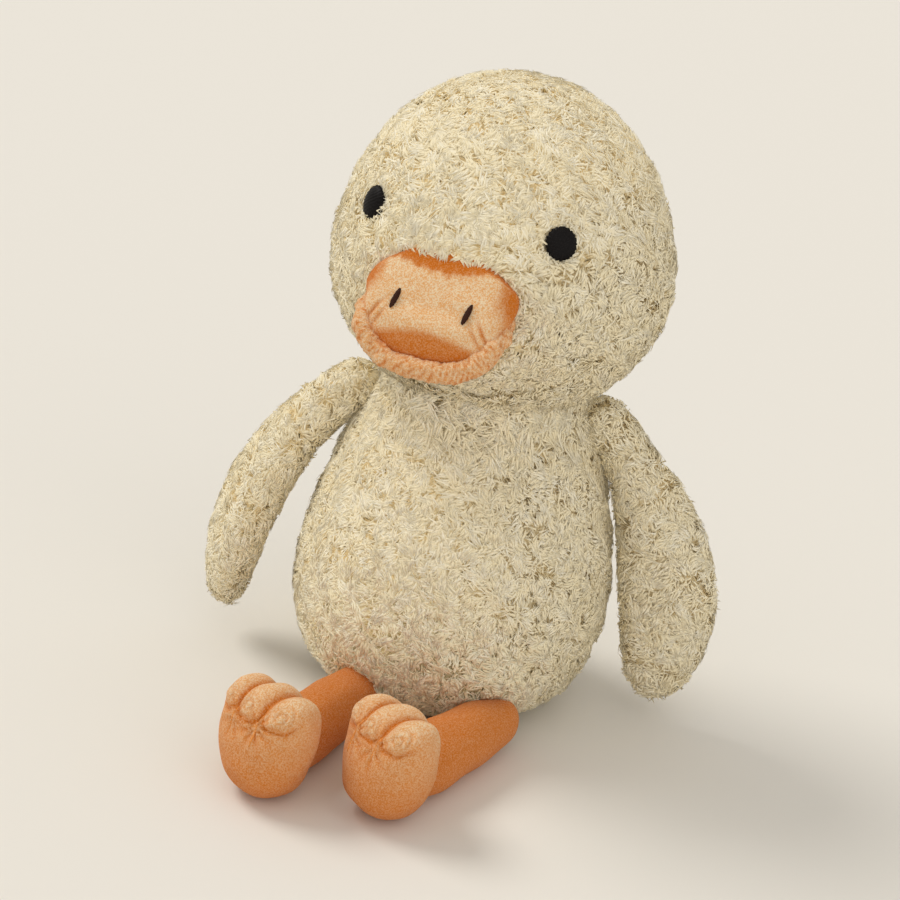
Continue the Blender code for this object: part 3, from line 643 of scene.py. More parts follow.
def tuft_points(stations, normals, radius):
    """The points of all tufts: a ring at the root, a ring at the bend, and the tip."""
    rings = []
    for ring, (width, _) in enumerate(TUFT_RINGS):
        along = unit(stations[:, ring + 1] - stations[:, max(ring - 1, 0)])
        side = unit(np.cross(along, normals + 1e-4))
        up = np.cross(along, side)
        for corner in range(TUFT_SIDES):
            angle = 2 * math.pi * corner / TUFT_SIDES + math.pi / 2
            spread = side * (math.cos(angle) * 1.35) + up * (math.sin(angle) * 0.30)
            rings.append(stations[:, ring] + spread * radius * width)
    return np.stack([*rings, stations[:, 2]], axis=1)


def tuft_faces():
    """The faces of one tuft, which is closed, and where its corners lie on the map."""
    around = [(corner, (corner + 1) % TUFT_SIDES) for corner in range(TUFT_SIDES)]
    sides = [(low, after, TUFT_SIDES + after, TUFT_SIDES + low) for low, after in around]
    point = [(TUFT_SIDES + low, TUFT_SIDES + after, 2 * TUFT_SIDES) for low, after in around]
    heights = [height for _, height in TUFT_RINGS]
    spots = [((corner - 1) * 0.012, height + 0.01 * corner) for height in heights for corner in range(3)]
    return [*sides, *point, (2, 1, 0)], [*spots, (0.0, TUFT_TIP_HEIGHT)]


def pile_piece(name, points, skin_normals, tones, finish):
    """One mesh of many tufts. Their normals lean to the skin's, so the pile shades softly."""
    count, each, _ = points.shape
    faces, spots = tuft_faces()
    corners = np.array([index for face in faces for index in face])
    starts = np.cumsum([0] + [len(face) for face in faces[:-1]])
    offsets = np.arange(count)[:, None]
    mesh = bpy.data.meshes.new(name)
    mesh.vertices.add(count * each)
    mesh.loops.add(count * len(corners))
    mesh.polygons.add(count * len(faces))
    mesh.vertices.foreach_set("co", points.astype(np.float64).ravel())
    mesh.loops.foreach_set("vertex_index", (offsets * each + corners).ravel())
    mesh.polygons.foreach_set("loop_start", (offsets * len(corners) + starts).ravel())
    layer = mesh.uv_layers.new(name="OFBake")
    corner_spots = np.array(spots)[corners]
    across = np.clip(tones[:, None] + corner_spots[None, :, 0], 0.0, 1.0)
    up = np.broadcast_to(corner_spots[None, :, 1], across.shape)
    layer.data.foreach_set("uv", np.stack([across, up], axis=2).ravel())
    mesh.update(calc_edges=True)
    mesh.validate()
    mesh.shade_smooth()
    own = vertex_normals(mesh)
    mesh.normals_split_custom_set_from_vertices(unit(own + 0.4 * np.repeat(skin_normals, each, axis=0)))
    mesh.materials.append(finish)
    obj = bpy.data.objects.new(name, mesh)
    bpy.context.scene.collection.objects.link(obj)
    return obj


def pile_finish():
    """Pale curly ends over a warmer root: the root's deeper colour is partly the fibre's colour and partly
    painted shade deep in the pile, and the pale ends partly painted highlight. Each tuft has its own tone
    across the map.
    """
    tint = colours()
    finish = Finish("curly_pile", roughness=1.0, gloss=0.0)
    spot = finish.node("ShaderNodeUVMap", {"uv_map": "OFBake"})
    apart = finish.nodes.new("ShaderNodeSeparateXYZ")
    finish.feed(apart.inputs[0], spot)
    tone = Socket(finish, apart.outputs[0])
    height = Socket(finish, apart.outputs[1])
    low = finish.mix(height.ramped(0.05, 0.55), tuple(tint.pile_root), tuple(tint.pile_middle))
    lifted = (height + (tone - 0.5) * 1.1).ramped(0.45, 1.30)
    finish.colour(finish.mix(lifted, low, tuple(tint.pile_tip)))
    return finish.material


def backing_finish():
    tint = colours()
    finish = Finish("pile_backing", roughness=1.0, gloss=0.0)
    grain = finish.noise(700.0, 3.0, 0.6)
    # The backing takes the pile's root and middle colours, so its darker tan is partly painted shade between
    # the tufts
    finish.colour(finish.mix(grain.ramped(0.25, 0.65), tuple(tint.pile_root), tuple(tint.pile_middle)))
    finish.bump(grain, 0.5, 0.8 * MM)
    return finish.material


def velour_finish():
    """Looped velour: pale fibre ends on orange with a fine grain, and painted shade, darker and deeper
    orange, wherever the piece's shade attribute is high.
    """
    tint = colours()
    finish = Finish("looped_velour", roughness=0.95, gloss=0.08, sheen=0.10)
    fine = finish.noise(1600.0, 3.0, 0.7)
    patch = finish.noise(330.0, 2.0, 0.5)
    painted_shade = finish.attribute("painted_shade")
    light = (fine.ramped(0.42, 0.58) * 0.78 + patch.ramped(0.3, 0.75) * 0.22).held()
    # Painted shade dims the pale fibre ends, then turns the colour deeper orange
    plain = finish.mix((light * (1 - painted_shade * 0.6)).held(), tuple(tint.velour_middle), tuple(tint.velour_light))
    shade_share = (painted_shade * (1.25 - 0.55 * fine.ramped(0.35, 0.65))).held()
    finish.colour(finish.mix(shade_share, plain, tuple(tint.velour_shade)))
    finish.bump(fine, 0.8, 0.8 * MM)
    return finish.material


# Keep the pile off what is sewn on the head


def eye_frame(side):
    centre = Vector((SIDES[side] * EYE_PLACE.x, EYE_PLACE.y, HEAD_RISE + EYE_PLACE.z))
    outward = Vector((centre.x / HEAD_HALF.x**2, centre.y / HEAD_HALF.y**2, EYE_PLACE.z / HEAD_HALF.z**2))
    return HEAD @ Matrix.Translation(centre) @ outward.to_track_quat("Z", "Y").to_matrix().to_4x4()


def node_surface(node):
    """A node of the frame, ready to be asked what lies near or in the way."""
    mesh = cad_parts[node].data
    mesh.calc_loop_triangles()
    verts = [vert.co.copy() for vert in mesh.vertices]
    return BVHTree.FromPolygons(verts, [tuple(tri.vertices) for tri in mesh.loop_triangles])


def head_keep(points):
    kept = np.ones(len(points), dtype=bool)
    for side in SIDES:
        near = in_frame(eye_frame(side), points) / MM
        kept &= np.hypot(near[:, 0], near[:, 1]) > EYE_CLEARING
    kept &= ~covered_by_bill(points)
    local = in_frame(HEAD, points) / MM
    dish = np.linalg.norm(local, axis=1)
    kept &= ~((dish < 46.5) & (local[:, 2] < 60.0))
    return kept


def covered_by_bill(points):
    """Where a bill pad lies over the face, within the length of a tuft."""
    middle = HEAD @ Vector((0.0, 0.0, HEAD_RISE))
    covered = np.zeros(len(points), dtype=bool)
    near = np.linalg.norm(points - np.array(BILL.translation), axis=1) < 48 * MM
    graph = bpy.context.evaluated_depsgraph_get()
    for name in ("bill_upper_skin", "bill_lower_skin", "bill_lip_skin"):
        tree = BVHTree.FromObject(bpy.data.objects[name], graph)
        for index in np.flatnonzero(near & ~covered):
            point = Vector(points[index])
            outward = (point - middle).normalized()
            covered[index] = tree.ray_cast(point, outward, 7 * MM)[0] is not None
    return covered


def body_keep(points):
    local = (points - np.array(NECK)) / MM
    return (local[:, 2] < BODY_PILE_TOP) & (points[:, 2] > 1.2 * MM)


def everywhere(points):
    return np.ones(len(points), dtype=bool)


def limb_length(points):
    """Longer at the ends, where the pile of the wings hangs down."""
    share = 0.95 + 0.12 * (1 - smooth_step(points[:, 2] / MM, 16.0, 34.0))
    return sizes().pile_length * share


def head_length(points):
    """Shorter round the bill and the eyes, where the pile is trimmed."""
    bill = in_frame(BILL, points) / MM
    wide = ((np.abs(bill[:, 0]) / 30.5) ** 2.6 + (np.abs(bill[:, 1] + 6.0) / 20.5) ** 2.6) ** (1 / 2.6)
    share = 0.62 + 0.38 * smooth_step(wide, 1.0, 1.5)
    front = bill[:, 2] > -40
    share = np.where(front, share, 1.0)
    for side in SIDES:
        near = in_frame(eye_frame(side), points) / MM
        away = np.linalg.norm(near, axis=1)
        share = np.minimum(share, 0.62 + 0.38 * smooth_step(away, 6.0, 12.0))
    return sizes().pile_length * share


def body_length(points):
    """Longer in the crease under the head, shorter inside the head's hollow and at the seat."""
    local = (points - np.array(NECK)) / MM
    share = 1.0 + 0.55 * smooth_step(local[:, 2], -16.0, -6.0)
    share -= 0.75 * smooth_step(local[:, 2], 8.0, 13.0)
    seat = smooth_step(points[:, 2] / MM, 2.0, 16.0)
    return sizes().pile_length * share * (0.5 + 0.5 * seat)


class PLUSHDUCK_OT_plush(bpy.types.Operator):
    """Makes the stuffed skins of body, head, wings and tail and grows their pile"""

    bl_idname = "plush_duck.plush"
    bl_label = "Plush"
    bl_options = {"REGISTER", "UNDO"}

    def execute(self, context):
        duck = sizes()
        backing = backing_finish()
        pile = pile_finish()
        keeps = {"body": body_keep, "head": head_keep}
        lengths = {"body": body_length, "head": head_length}
        for number, (name, nodes) in enumerate(PLUSH_NODES.items()):
            voxel = duck.padding_voxel if name in ("body", "head") else duck.padding_voxel * 0.6
            skin = solid_copy(f"{name}_skin", nodes, voxel, HOLLOW_PLUGS.get(name, ()))
            relax(skin, 0.6, 6)
            draw_in(skin, STUFFING_SWELL - duck.skin_lift)
            stuff(skin, duck.padding_pressure, STUFFING_SWELL)
            relax(skin, 0.5, 3)
            subdivide(skin, 1)
            set_coordinates(skin.data, above(coordinates(skin.data), 0.6 * MM))
            finish_piece(skin, backing, BODY_OF[name], "plush", *nodes, fill=0.8)
            middle = coordinates(skin.data).mean(axis=0)
            keep = keeps.get(name, everywhere)
            length = lengths.get(name, limb_length)
            seed = SEED + 10 * number
            solid = node_surface(nodes[0])
            grow_pile(f"{name}_pile", skin, solid, keep, length, seed, middle, BODY_OF[name], pile)
        return {"FINISHED"}


# Bill


def lip_path(count):
    """The rolled lip's middle line in the bill's frame, from corner to corner, in millimetres."""
    points = []
    for step in range(count):
        angle = math.pi * step / (count - 1)
        front = math.sin(angle)
        half = 27.4 + 3.2 * smooth_between(front, 0.0, 0.35)
        across = squared_off(math.cos(angle), 0.70) * half
        along = 8.5 - 37.4 * front**0.70
        lift = -0.6 + 4.6 * smooth_between(front, 0.05, 0.55) - 1.6 * smooth_between(front, 0.6, 1.0)
        points.append((across, along, lift))
    return points


def smooth_between(value, low, high):
    share = max(0.0, min(1.0, (value - low) / (high - low)))
    return share * share * (3 - 2 * share)


def distances(tree, points):
    return np.array([tree.find_nearest(Vector(point))[3] for point in points])


class PLUSHDUCK_OT_bill(bpy.types.Operator):
    """Makes the padded upper bill, the lower bill and its rolled lip"""

    bl_idname = "plush_duck.bill"
    bl_label = "Bill"
    bl_options = {"REGISTER", "UNDO"}

    def execute(self, context):
        velour = velour_finish()
        face = node_surface("head_cover")
        upper_rows = [
            (-2.0, -2.4, 0, 0),
            (-2.0, -2.2, 26.0, 21.0),
            (-2.6, 0.5, 29.2, 23.0),
            (-2.4, 3.6, 29.8, 22.8),
            (-0.6, 6.4, 28.8, 20.6),
            (1.2, 8.6, 26.8, 17.8),
            (2.6, 10.0, 23.2, 15.0),
            (3.0, 10.5, 14.0, 9.0),
            (3.0, 10.7, 0, 0),
        ]
        upper = ring_form("bill_upper_skin", upper_rows, 24, 3, BILL, power=0.76)
        pleat = self.shape_upper(upper)
        near = distances(face, coordinates(upper.data)) / MM
        local = in_frame(BILL, coordinates(upper.data)) / MM
        ragged = swirl(coordinates(upper.data), 3.2 * MM, 31)[:, 0]
        # Painted shade: darker at the seam with the face, on the front slope that faces down, at the sides
        # and back of the pad, and in its pleats
        seam_shade = 1 - smooth_step(near + 0.6 * ragged, 2.4, 4.4)
        front = -local[:, 1] - 0.045 * np.abs(local[:, 0]) ** 1.35
        front_slope_shade = smooth_step(front, 13.8, 18.0) * (1 - smooth_step(np.abs(local[:, 0]), 19.0, 25.0)) * 0.85
        wide = np.abs(local[:, 0]) + 0.7 * ragged
        behind = smooth_step(wide, 21.5, 27.5) * smooth_step(local[:, 1], -7.0, 5.0)
        side = smooth_step(wide, 26.5, 30.0) * 0.5 + behind * 0.8
        set_attribute(upper, "painted_shade", np.clip(np.maximum.reduce([seam_shade, front_slope_shade, side, 0.8 * pleat]), 0, 1))
        finish_piece(upper, velour, "head", "velour", "bill_upper", "bill_filling", fill=0.7)

        lower_rows = [
            (-9.0, -8.4, 0, 0),
            (-9.0, -8.2, 21.0, 14.0),
            (-10.0, -6.6, 27.0, 17.5),
            (-11.0, -3.2, 29.6, 18.6),
            (-11.0, -0.4, 29.0, 18.2),
            (-10.5, 0.6, 24.0, 15.0),
            (-10.0, 0.9, 0, 0),
        ]
        lower = ring_form("bill_lower_skin", lower_rows, 24, 2, BILL, power=0.78)
        # The lower bill, under the upper one, gets an even painted shade
        set_attribute(lower, "painted_shade", np.full(len(lower.data.vertices), 0.35))
        finish_piece(lower, velour, "head", "velour", fill=0.7)
        lip = self.make_lip()
        finish_piece(lip, velour, "head", "velour", "bill_lower", fill=0.9)
        return {"FINISHED"}

    def shape_upper(self, upper):
        """A wide foot where the pad meets the face, a dent behind the front edge, and small folds."""
        points = in_frame(BILL, coordinates(upper.data)) / MM
        x, y, z = points[:, 0], points[:, 1], points[:, 2]
        points[:, 0] *= 1 + 0.08 * smooth_step(y, -8.0, 4.0) * (1 - smooth_step(z, 2.0, 9.0))
        points[:, 0] *= 1 - 0.20 * smooth_step(y, 6.0, 21.0)
        top = smooth_step(z, 6.0, 9.5)
        dent = hill(y, -6.5, 3.2) * np.exp(-((x / 20.0) ** 4)) * top
        swell = hill(y, -13.0, 4.5) * np.exp(-((x / 21.0) ** 4)) * top
        z += -0.9 * dent + 0.8 * swell
        pleat = np.zeros(len(points))
        for sign in (1, -1):
            along = (x * sign - 21.5) * 0.6 + (-y - 12.5) * 0.8
            across = (x * sign - 21.5) * 0.8 - (-y - 12.5) * 0.6
            for apart, deep in ((-1.6, 0.7), (1.9, 1.0)):
                line = hill(across, apart, 0.75) * hill(along, 0.0, 5.0)
                pleat += deep * line * smooth_step(z, 2.0, 6.0)
        points[:, 2] = z - 0.9 * pleat
        world = out_of_frame(BILL, points * MM)
        world += swirl(world, 11 * MM, 5) * 0.25 * MM
        set_coordinates(upper.data, world)
        return pleat

    def make_lip(self):
        """The lip is a tube along its path, a little uneven, with small cross folds."""
        path = lip_path(LIP_STATIONS)
        radii = []
        for index in range(len(path)):
            front = math.sin(math.pi * index / (len(path) - 1))
            thicker = 0.50 + 0.50 * smooth_between(front, 0.0, 0.75)
            radii.append(thicker * smooth_between(front, -0.08, 0.08))
        lip = tube("bill_lip_skin", [[part * MM for part in spot] for spot in path], LIP_RADIUS, 7, radii)
        lip.data.transform(BILL)
        lip.data.update()
        points = coordinates(lip.data)
        normals = vertex_normals(lip.data)
        local = in_frame(BILL, points) / MM
        turn = np.arctan2(8.5 - local[:, 1], local[:, 0])
        waves = np.sin(turn * 78 + 2.6 * swirl(points, 4.5 * MM, 15)[:, 0])
        coarse, fine = swirl(points, 5.0 * MM, 12)[:, 0], swirl(points, 1.9 * MM, 13)[:, 0]
        rough = coarse * 0.40 + fine * 0.20 + 0.17 * waves
        set_coordinates(lip.data, points + normals * rough[:, None] * MM)
        # Painted shade under the lip and in the valleys between its cross folds, with an uneven mottle
        under = 1 - smooth_step(local[:, 2], -2.5, 2.5)
        patch = smooth_step(swirl(points, 2.0 * MM, 14)[:, 0] - 0.5 * waves, 0.1, 1.3)
        set_attribute(lip, "painted_shade", np.clip(0.12 + 0.55 * under + 0.6 * patch, 0, 1))
        return lip


# Legs and feet


def leg_frame(side):
    sign = SIDES[side]
    hip = Vector((sign * 30 * MM, -(58 + sign * 3) * MM, HIP_HEIGHT))
    turned = Matrix.Translation(hip) @ Matrix.Rotation(LEG_YAW[side], 4, "Z")
    return turned @ Matrix.Rotation(math.radians(-90), 4, "X")


def foot_frame(side):
    ankle = Matrix.Translation((0.0, HIP_HEIGHT - 0.5 * MM, -LEG_LENGTH))
    stand = Matrix.Rotation(math.radians(90) + FOOT_RECLINE, 4, "X") @ Matrix.Rotation(FOOT_TURN, 4, "Z")
    return leg_frame(side) @ ankle @ stand


FOOT_ROWS = [
    (0, 0.3, 0, 0),
    (0, 1.4, 9.0, 8.4),
    (0, 5.6, 15.2, 13.6),
    (0, 13.0, 19.0, 16.4),
    (0, 22.0, 20.8, 17.2),
    (0, 31.0, 22.4, 15.6),
    (0, 38.0, 22.2, 12.6),
    (0, 42.6, 18.6, 8.8),
    (0, 44.6, 10.0, 4.4),
    (0, 45.0, 0, 0),
]
TOE_GAPS = (-7.0, 7.0)


def shape_toes(foot, matrix, seed):
    """Pinches two folds over the top of the foot, which leave three toes, and wrinkles round them."""
    points = in_frame(matrix, coordinates(foot.data)) / MM
    normals = vertex_normals(foot.data) @ np.array(matrix)[:3, :3]
    x, y, z = points.T
    painted_shade = np.zeros(len(points))
    pale = np.zeros(len(points))
    move = np.zeros(len(points))
    for gap in TOE_GAPS:
        spot = gap * (0.86 + 0.012 * (z - 28.0))
        reach = smooth_step(z, 34.0, 39.5)
        pinch = hill(x, spot, 1.2) * reach
        wide = hill(x, spot, 3.0) * reach
        move -= 1.2 * pinch + 1.0 * wide
        painted_shade += 0.60 * pinch
        away = np.hypot(x - gap * 0.9, z - 33.0)
        turn = np.arctan2(z - 33.0, x - gap * 0.9)
        rays = np.sin(turn * 9 + seed + gap) * hill(away, 0.0, 7.5) * smooth_step(away, 0.6, 2.2)
        front = smooth_step(-y, 1.0, 6.0)
        move += 0.55 * rays * front
        painted_shade += 0.35 * np.clip(-rays, 0, 1) * front
    for toe in (-14.0, 0.0, 14.0):
        lobe = hill(x, toe, 5.4) * smooth_step(z, 31.0, 39.0)
        move += 1.3 * lobe
        # Small creases round each toe's end, one inside the other
        ring = np.hypot(x - toe, (z - 38.5) * 1.2)
        crease = np.sin(ring * 2.6 + 0.8 * np.sin(toe + x)) * hill(ring, 0.0, 5.2)
        facing = smooth_step(-y, 0.5, 5.0) * smooth_step(z, 30.0, 34.0)
        outer = hill(ring - 6.4, 0.5 * np.sin(x + seed), 0.9)
        below = outer * (1 - smooth_step(z, 35.0, 38.5))
        move += (0.58 * crease - 0.80 * below) * facing
        painted_shade += (0.30 * np.clip(-crease, 0, 1) + 0.35 * below) * facing
        # The tops of the toes, which get a painted highlight
        pale += hill(x, toe, 5.0) * smooth_step(z, 33.0, 38.0)
    points += normals * move[:, None]
    world = out_of_frame(matrix, points * MM)
    world += swirl(world, 13 * MM, seed) * 0.28 * MM
    set_coordinates(foot.data, above(world, 0.4 * MM))
    # Painted shade: darker towards the ankle, in the pinched creases, in the wrinkles and under the toe ends,
    # and lighter on the toe tops as a painted highlight
    lower = 0.46 + 0.36 * (1 - smooth_step(z, 2.0, 34.0)) - 0.42 * np.clip(pale, 0, 1)
    set_attribute(foot, "painted_shade", np.clip(np.maximum(painted_shade, 0) * 1.1 + lower, 0, 1))


def toe_thread(name, foot, matrix, gap, finish, body, node):
    """A thread that lies in the crease between two toes and goes over the top of the foot."""
    tree = BVHTree.FromObject(foot, bpy.context.evaluated_depsgraph_get())
    middle = Vector((gap * MM, 0.0, 33.5 * MM))
    away = 40 * MM
    path = []
    for step in range(25):
        angle = math.radians(-28 + 236 * step / 24)
        across = gap * (0.98 + 0.012 * 9 * math.sin(angle)) * MM
        start = matrix @ Vector((across, -math.cos(angle) * away, middle.z + math.sin(angle) * away))
        aim = (matrix @ middle - start).normalized()
        hit = tree.ray_cast(start, aim)[0]
        if hit is None:
            continue
        path.append(hit + aim * TOE_THREAD_SINK)
    thread = tube(name, path, TOE_THREAD_RADIUS, 2)
    finish_piece(thread, finish, body, "toe_thread", node)


class PLUSHDUCK_OT_legs(bpy.types.Operator):
    """Makes the legs, the feet with their pinched toes, and the threads between the toes"""

    bl_idname = "plush_duck.legs"
    bl_label = "Legs and feet"
    bl_options = {"REGISTER", "UNDO"}

    def execute(self, context):
        velour = velour_finish()
        thread = thread_finish("toe_sewing_thread", (0.60, 0.23, 0.06), 0.7)
        leg_rows = [
            (0, -72.0, 0, 0),
            (0, -70.0, 9.6, 9.6),
            (0, -59.0, 13.4, 13.4),
            (0, -41.0, 14.2, 14.0),
            (0, -24.0, 13.5, 13.5),
            (0, -12.0, 12.4, 12.4),
            (0, 0.0, 11.0, 11.0),
            (0, 5.5, 9.4, 9.4),
            (0, 9.4, 5.8, 5.8),
            (0, 10.6, 0, 0),
        ]
        for side in SIDES:
            body = f"leg_{side}"
            leg = ring_form(f"leg_{side}_skin", leg_rows, 20, 2, leg_frame(side))
            points = coordinates(leg.data)
            points += swirl(points, 16 * MM, 40 + SIDES[side]) * 0.45 * MM
            set_coordinates(leg.data, above(points, 0.5 * MM))
            # Painted shade: the whole leg is made deep orange, as a leg lying in shade
            set_attribute(leg, "painted_shade", np.full(len(points), 0.85))
            covered = (f"leg_{side}_cover", f"leg_{side}_filling")
            finish_piece(leg, velour, body, "velour", *covered, fill=0.6)
            matrix = foot_frame(side)
            foot = ring_form(f"foot_{side}_skin", FOOT_ROWS, 28, 3, matrix, power=0.92)
            shape_toes(foot, matrix, 60 + SIDES[side])
            covered = (f"foot_{side}_cover", f"foot_{side}_filling")
            finish_piece(foot, velour, body, "velour", *covered, fill=0.8)
            for number, gap in enumerate(TOE_GAPS, 1):
                node = f"foot_{side}_stitch_{number}"
                toe_thread(f"{node}_thread", foot, matrix, gap, thread, body, node)
        return {"FINISHED"}


# Sewn details


def thread_finish(name, colour, roughness):
    finish = Finish(name, roughness=roughness, gloss=0.06)
    grain = finish.noise(2600.0, 2.0)
    pale = tuple(min(1.0, channel * 1.7 + 0.003) for channel in colour)
    finish.colour(finish.mix(grain.ramped(0.35, 0.75), colour, pale))
    finish.bump(grain, 0.3, 0.2 * MM)
    return finish.material


class PLUSHDUCK_OT_stitches(bpy.types.Operator):
    """Makes the satin-stitched eyes and the sewn nostrils"""

    bl_idname = "plush_duck.stitches"
    bl_label = "Eyes and nostrils"
    bl_options = {"REGISTER", "UNDO"}

    def execute(self, context):
        tint = colours()
        eye_thread = thread_finish("eye_satin_thread", tuple(tint.eye_thread), 0.42)
        nostril_thread = thread_finish("nostril_sewing_thread", tuple(tint.nostril_thread), 0.6)
        for side, sign in SIDES.items():
            self.make_eye(side, eye_frame(side), eye_thread)
            place = Vector((sign * NOSTRIL_PLACE.x, NOSTRIL_PLACE.y, NOSTRIL_PLACE.z))
            spot = BILL @ Matrix.Translation(place) @ Matrix.Rotation(NOSTRIL_TURN, 4, "Z")
            self.make_nostril(side, spot, nostril_thread)
        return {"FINISHED"}

    def make_eye(self, side, matrix, finish):
        """A low dome laid over with slanting rows of thread."""
        eye = ball(f"eye_{side}_satin", 96, 48)
        points = coordinates(eye.data)
        angle = np.arctan2(points[:, 1], points[:, 0])
        ragged = 1 + 0.030 * np.sin(angle * 23 + 1) + 0.022 * np.sin(angle * 37)
        slant = points[:, 0] * 0.82 + points[:, 1] * 0.57
        across = points[:, 1] * 0.82 - points[:, 0] * 0.57
        rows = np.abs(np.sin(across * 6.25 / 0.62 * math.pi / 2 + 0.06 * np.sin(slant * 9)))
        inner = (1 - points[:, 0] ** 2 - points[:, 1] ** 2).clip(0, 1) ** 0.3
        lifted = points[:, 2] * 2.9 + np.sign(points[:, 2]) * 0.16 * rows * inner
        lifted += EYE_RISE
        wide = points[:, 0] * EYE_HALF_WIDTH * ragged
        high = points[:, 1] * EYE_HALF_HEIGHT * ragged
        shaped = np.stack([wide, high, lifted], axis=1) * MM
        set_coordinates(eye.data, out_of_frame(matrix, shaped))
        finish_piece(eye, finish, "head", "eye_thread", f"eye_{side}")

    def make_nostril(self, side, matrix, finish):
        """A short bar of a few threads side by side."""
        bar = ball(f"nostril_{side}_bar", 32, 24)
        points = coordinates(bar.data)
        ridge = 1 + 0.10 * np.sin(points[:, 1] * 19.0 + points[:, 0] * 3)
        thick, long, deep = NOSTRIL_HALF
        spots = [points[:, 0] * thick * ridge, points[:, 1] * long, points[:, 2] * deep * ridge]
        shaped = np.stack(spots, axis=1) * MM
        set_coordinates(bar.data, out_of_frame(matrix, shaped))
        finish_piece(bar, finish, "head", "nostril_thread", f"nostril_{side}")


class PLUSHDUCK_OT_stuffing(bpy.types.Operator):
    """Gives the fillings, the pouch and the knots inside their materials"""

    bl_idname = "plush_duck.stuffing"
    bl_label = "Stuffing"
    bl_options = {"REGISTER", "UNDO"}

    def execute(self, context):
        wool = Finish("loose_fibre", roughness=0.95, sheen=0.2)
        puff = wool.noise(260.0, 5.0, 0.7)
        wool.colour(wool.mix(puff.ramped(0.25, 0.75), (0.80, 0.79, 0.75), (0.93, 0.92, 0.90)))
        wool.bump(puff, 0.8, 1.2 * MM)
        beads = Finish("pellet_pouch", roughness=0.5)
        inputs = {"Vector": beads.place(), "Scale": 330.0}
        bead = beads.node("ShaderNodeTexVoronoi", {"feature": "F1"}, inputs)
        # Darker between the pellets: painted shade in the gaps
        beads.colour(beads.mix(bead.ramped(0.2, 0.7), (0.84, 0.84, 0.82), (0.58, 0.58, 0.57)))
        beads.bump(1 - bead, 0.8, 1.5 * MM)
        knot = thread_finish("knot_thread", (0.70, 0.34, 0.15), 0.7)
        for name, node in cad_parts.items():
            if name.endswith("_filling"):
                chosen = wool.material
            elif name == "seat_pouch":
                chosen = beads.material
            elif name.endswith("_knot"):
                chosen = knot
            else:
                continue
            for slot in node.material_slots:
                slot.material = chosen
        return {"FINISHED"}


FLOOR_SIDE = 12.0
AIR_STRENGTH = 0.62
# The camera's focal length in pixels of the picture, and the picture's width
FOCAL_PIXELS = 2096.0
PICTURE_WIDTH = 900
SENSOR_WIDTH = 36.0
CAMERA_DISTANCE = 0.90
CAMERA_AZIMUTH = math.radians(5)
CAMERA_ELEVATION = math.radians(22)
CAMERA_ROLL = math.radians(7)
CAMERA_AIM_HEIGHT = 107 * MM
CAMERA_AIM_ASIDE = 7.5
LAMPS_AIM = Vector((0, 0, 0.12))


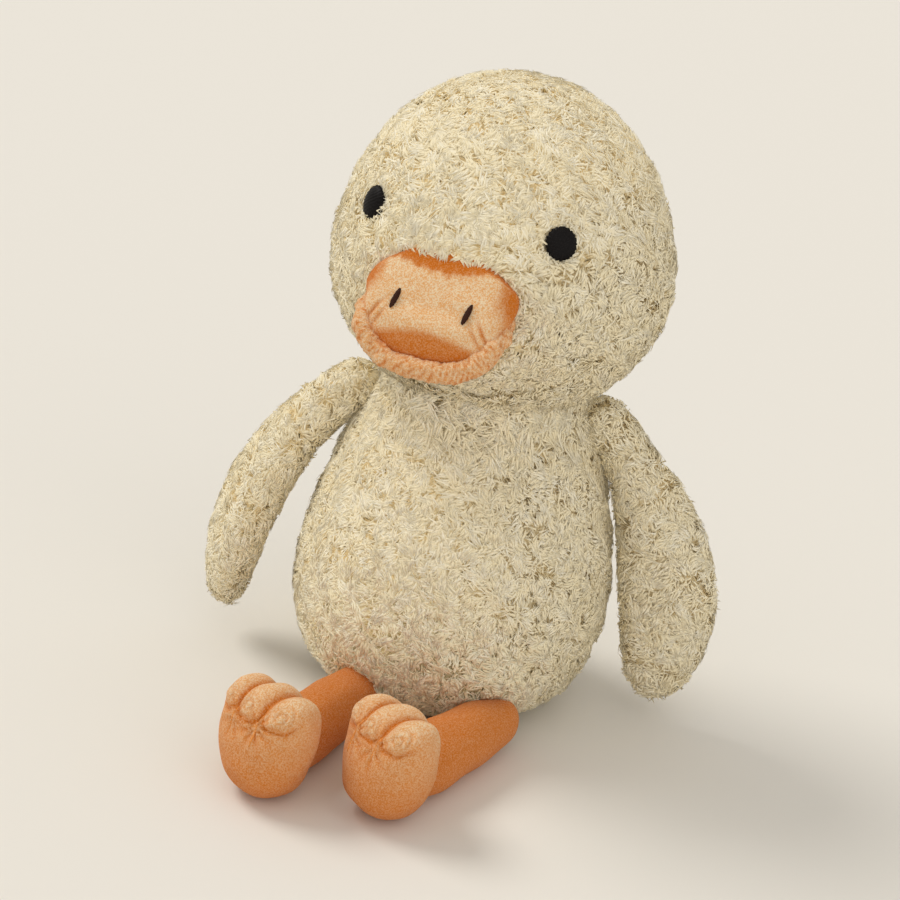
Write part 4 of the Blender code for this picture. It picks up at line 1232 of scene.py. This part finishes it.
class PLUSHDUCK_OT_stage(bpy.types.Operator):
    """Sets the pale floor, the soft lamps and the camera"""

    bl_idname = "plush_duck.stage"
    bl_label = "Stage"
    bl_options = {"REGISTER", "UNDO"}

    def execute(self, context):
        scene = bpy.context.scene
        scene.view_settings.view_transform = "Standard"
        deselect()
        bpy.ops.mesh.primitive_plane_add(size=FLOOR_SIDE, location=(0.0, 0.0, 0.0))
        floor = bpy.context.object
        floor.name = "studio_floor"
        paper = Finish("studio_paper", roughness=0.9)
        paper.colour(tuple(colours().floor))
        floor.data.materials.append(paper.material)
        world = bpy.data.worlds.new("studio_air")
        world.use_nodes = True
        nodes, links = world.node_tree.nodes, world.node_tree.links
        air = nodes["Background"]
        air.inputs["Color"].default_value = (1.0, 0.985, 0.96, 1.0)
        air.inputs["Strength"].default_value = AIR_STRENGTH
        # The camera, reflections and clear materials see the floor's tone behind the horizon
        wall = nodes.new("ShaderNodeBackground")
        wall.inputs["Color"].default_value = (*colours().floor, 1.0)
        ray = nodes.new("ShaderNodeLightPath")
        seen = ray.outputs["Is Camera Ray"]
        for kind in ("Is Glossy Ray", "Is Transmission Ray"):
            either = nodes.new("ShaderNodeMath")
            either.operation = "MAXIMUM"
            links.new(seen, either.inputs[0])
            links.new(ray.outputs[kind], either.inputs[1])
            seen = either.outputs[0]
        choice = nodes.new("ShaderNodeMixShader")
        links.new(seen, choice.inputs["Fac"])
        links.new(air.outputs[0], choice.inputs[1])
        links.new(wall.outputs[0], choice.inputs[2])
        links.new(choice.outputs[0], nodes["World Output"].inputs["Surface"])
        scene.world = world
        self.lamp("window_lamp", (-0.75, 0.30, 1.05), 26.0, 1.35, (1.0, 0.985, 0.95))
        self.lamp("front_lamp", (0.55, -1.0, 0.75), 70.0, 0.55, (1.0, 0.96, 0.90))
        self.camera()
        return {"FINISHED"}

    def lamp(self, name, place, spread, power, colour):
        light = bpy.data.lights.new(name, "SUN")
        light.angle = math.radians(spread)
        light.energy = power
        light.color = colour
        obj = bpy.data.objects.new(name, light)
        bpy.context.scene.collection.objects.link(obj)
        obj.location = place
        obj.rotation_mode = "QUATERNION"
        obj.rotation_quaternion = (LAMPS_AIM - Vector(place)).to_track_quat("-Z", "Y")

    def camera(self):
        azimuth, elevation, roll = CAMERA_AZIMUTH, CAMERA_ELEVATION, CAMERA_ROLL
        across = Vector((math.cos(azimuth), math.sin(azimuth), 0.0))
        target = Vector((0, 0, CAMERA_AIM_HEIGHT)) - across * CAMERA_AIM_ASIDE * MM
        back = Vector((
            math.sin(azimuth) * math.cos(elevation),
            -math.cos(azimuth) * math.cos(elevation),
            math.sin(elevation),
        ))
        upward = back.cross(across)
        right = across * math.cos(roll) + upward * math.sin(roll)
        upward = -across * math.sin(roll) + upward * math.cos(roll)
        view = bpy.data.cameras.new("camera")
        view.sensor_width = SENSOR_WIDTH
        view.lens = FOCAL_PIXELS / PICTURE_WIDTH * SENSOR_WIDTH
        view.clip_start = 0.01
        obj = bpy.data.objects.new("camera", view)
        bpy.context.scene.collection.objects.link(obj)
        turned = Matrix((right, upward, back)).transposed()
        obj.matrix_world = Matrix.Translation(target + back * CAMERA_DISTANCE) @ turned.to_4x4()
        bpy.context.scene.camera = obj


class PLUSHDUCK_PT_panel(bpy.types.Panel):
    bl_label = "Plush duck"
    bl_idname = "PLUSHDUCK_PT_panel"
    bl_space_type = "VIEW_3D"
    bl_region_type = "UI"
    bl_category = "Plush duck"

    def draw(self, context):
        for group in (sizes(), colours()):
            for key in group.__annotations__:
                self.layout.prop(group, key)
        for step in STEPS:
            self.layout.operator(step.bl_idname)


STEPS = (
    PLUSHDUCK_OT_bill,
    PLUSHDUCK_OT_plush,
    PLUSHDUCK_OT_legs,
    PLUSHDUCK_OT_stitches,
    PLUSHDUCK_OT_stuffing,
    PLUSHDUCK_OT_stage,
)
CLASSES = (PlushDuckSizes, PlushDuckColours, *STEPS, PLUSHDUCK_PT_panel)


def register():
    for made in CLASSES:
        bpy.utils.register_class(made)
    bpy.types.Scene.plush_duck_sizes = bpy.props.PointerProperty(type=PlushDuckSizes)
    bpy.types.Scene.plush_duck_colours = bpy.props.PointerProperty(type=PlushDuckColours)


def unregister():
    del bpy.types.Scene.plush_duck_colours
    del bpy.types.Scene.plush_duck_sizes
    for made in reversed(CLASSES):
        bpy.utils.unregister_class(made)


def main():
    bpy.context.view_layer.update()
    register()
    bpy.ops.plush_duck.bill()
    bpy.ops.plush_duck.plush()
    bpy.ops.plush_duck.legs()
    bpy.ops.plush_duck.stitches()
    bpy.ops.plush_duck.stuffing()
    bpy.ops.plush_duck.stage()


if __name__ == "__main__":
    main()
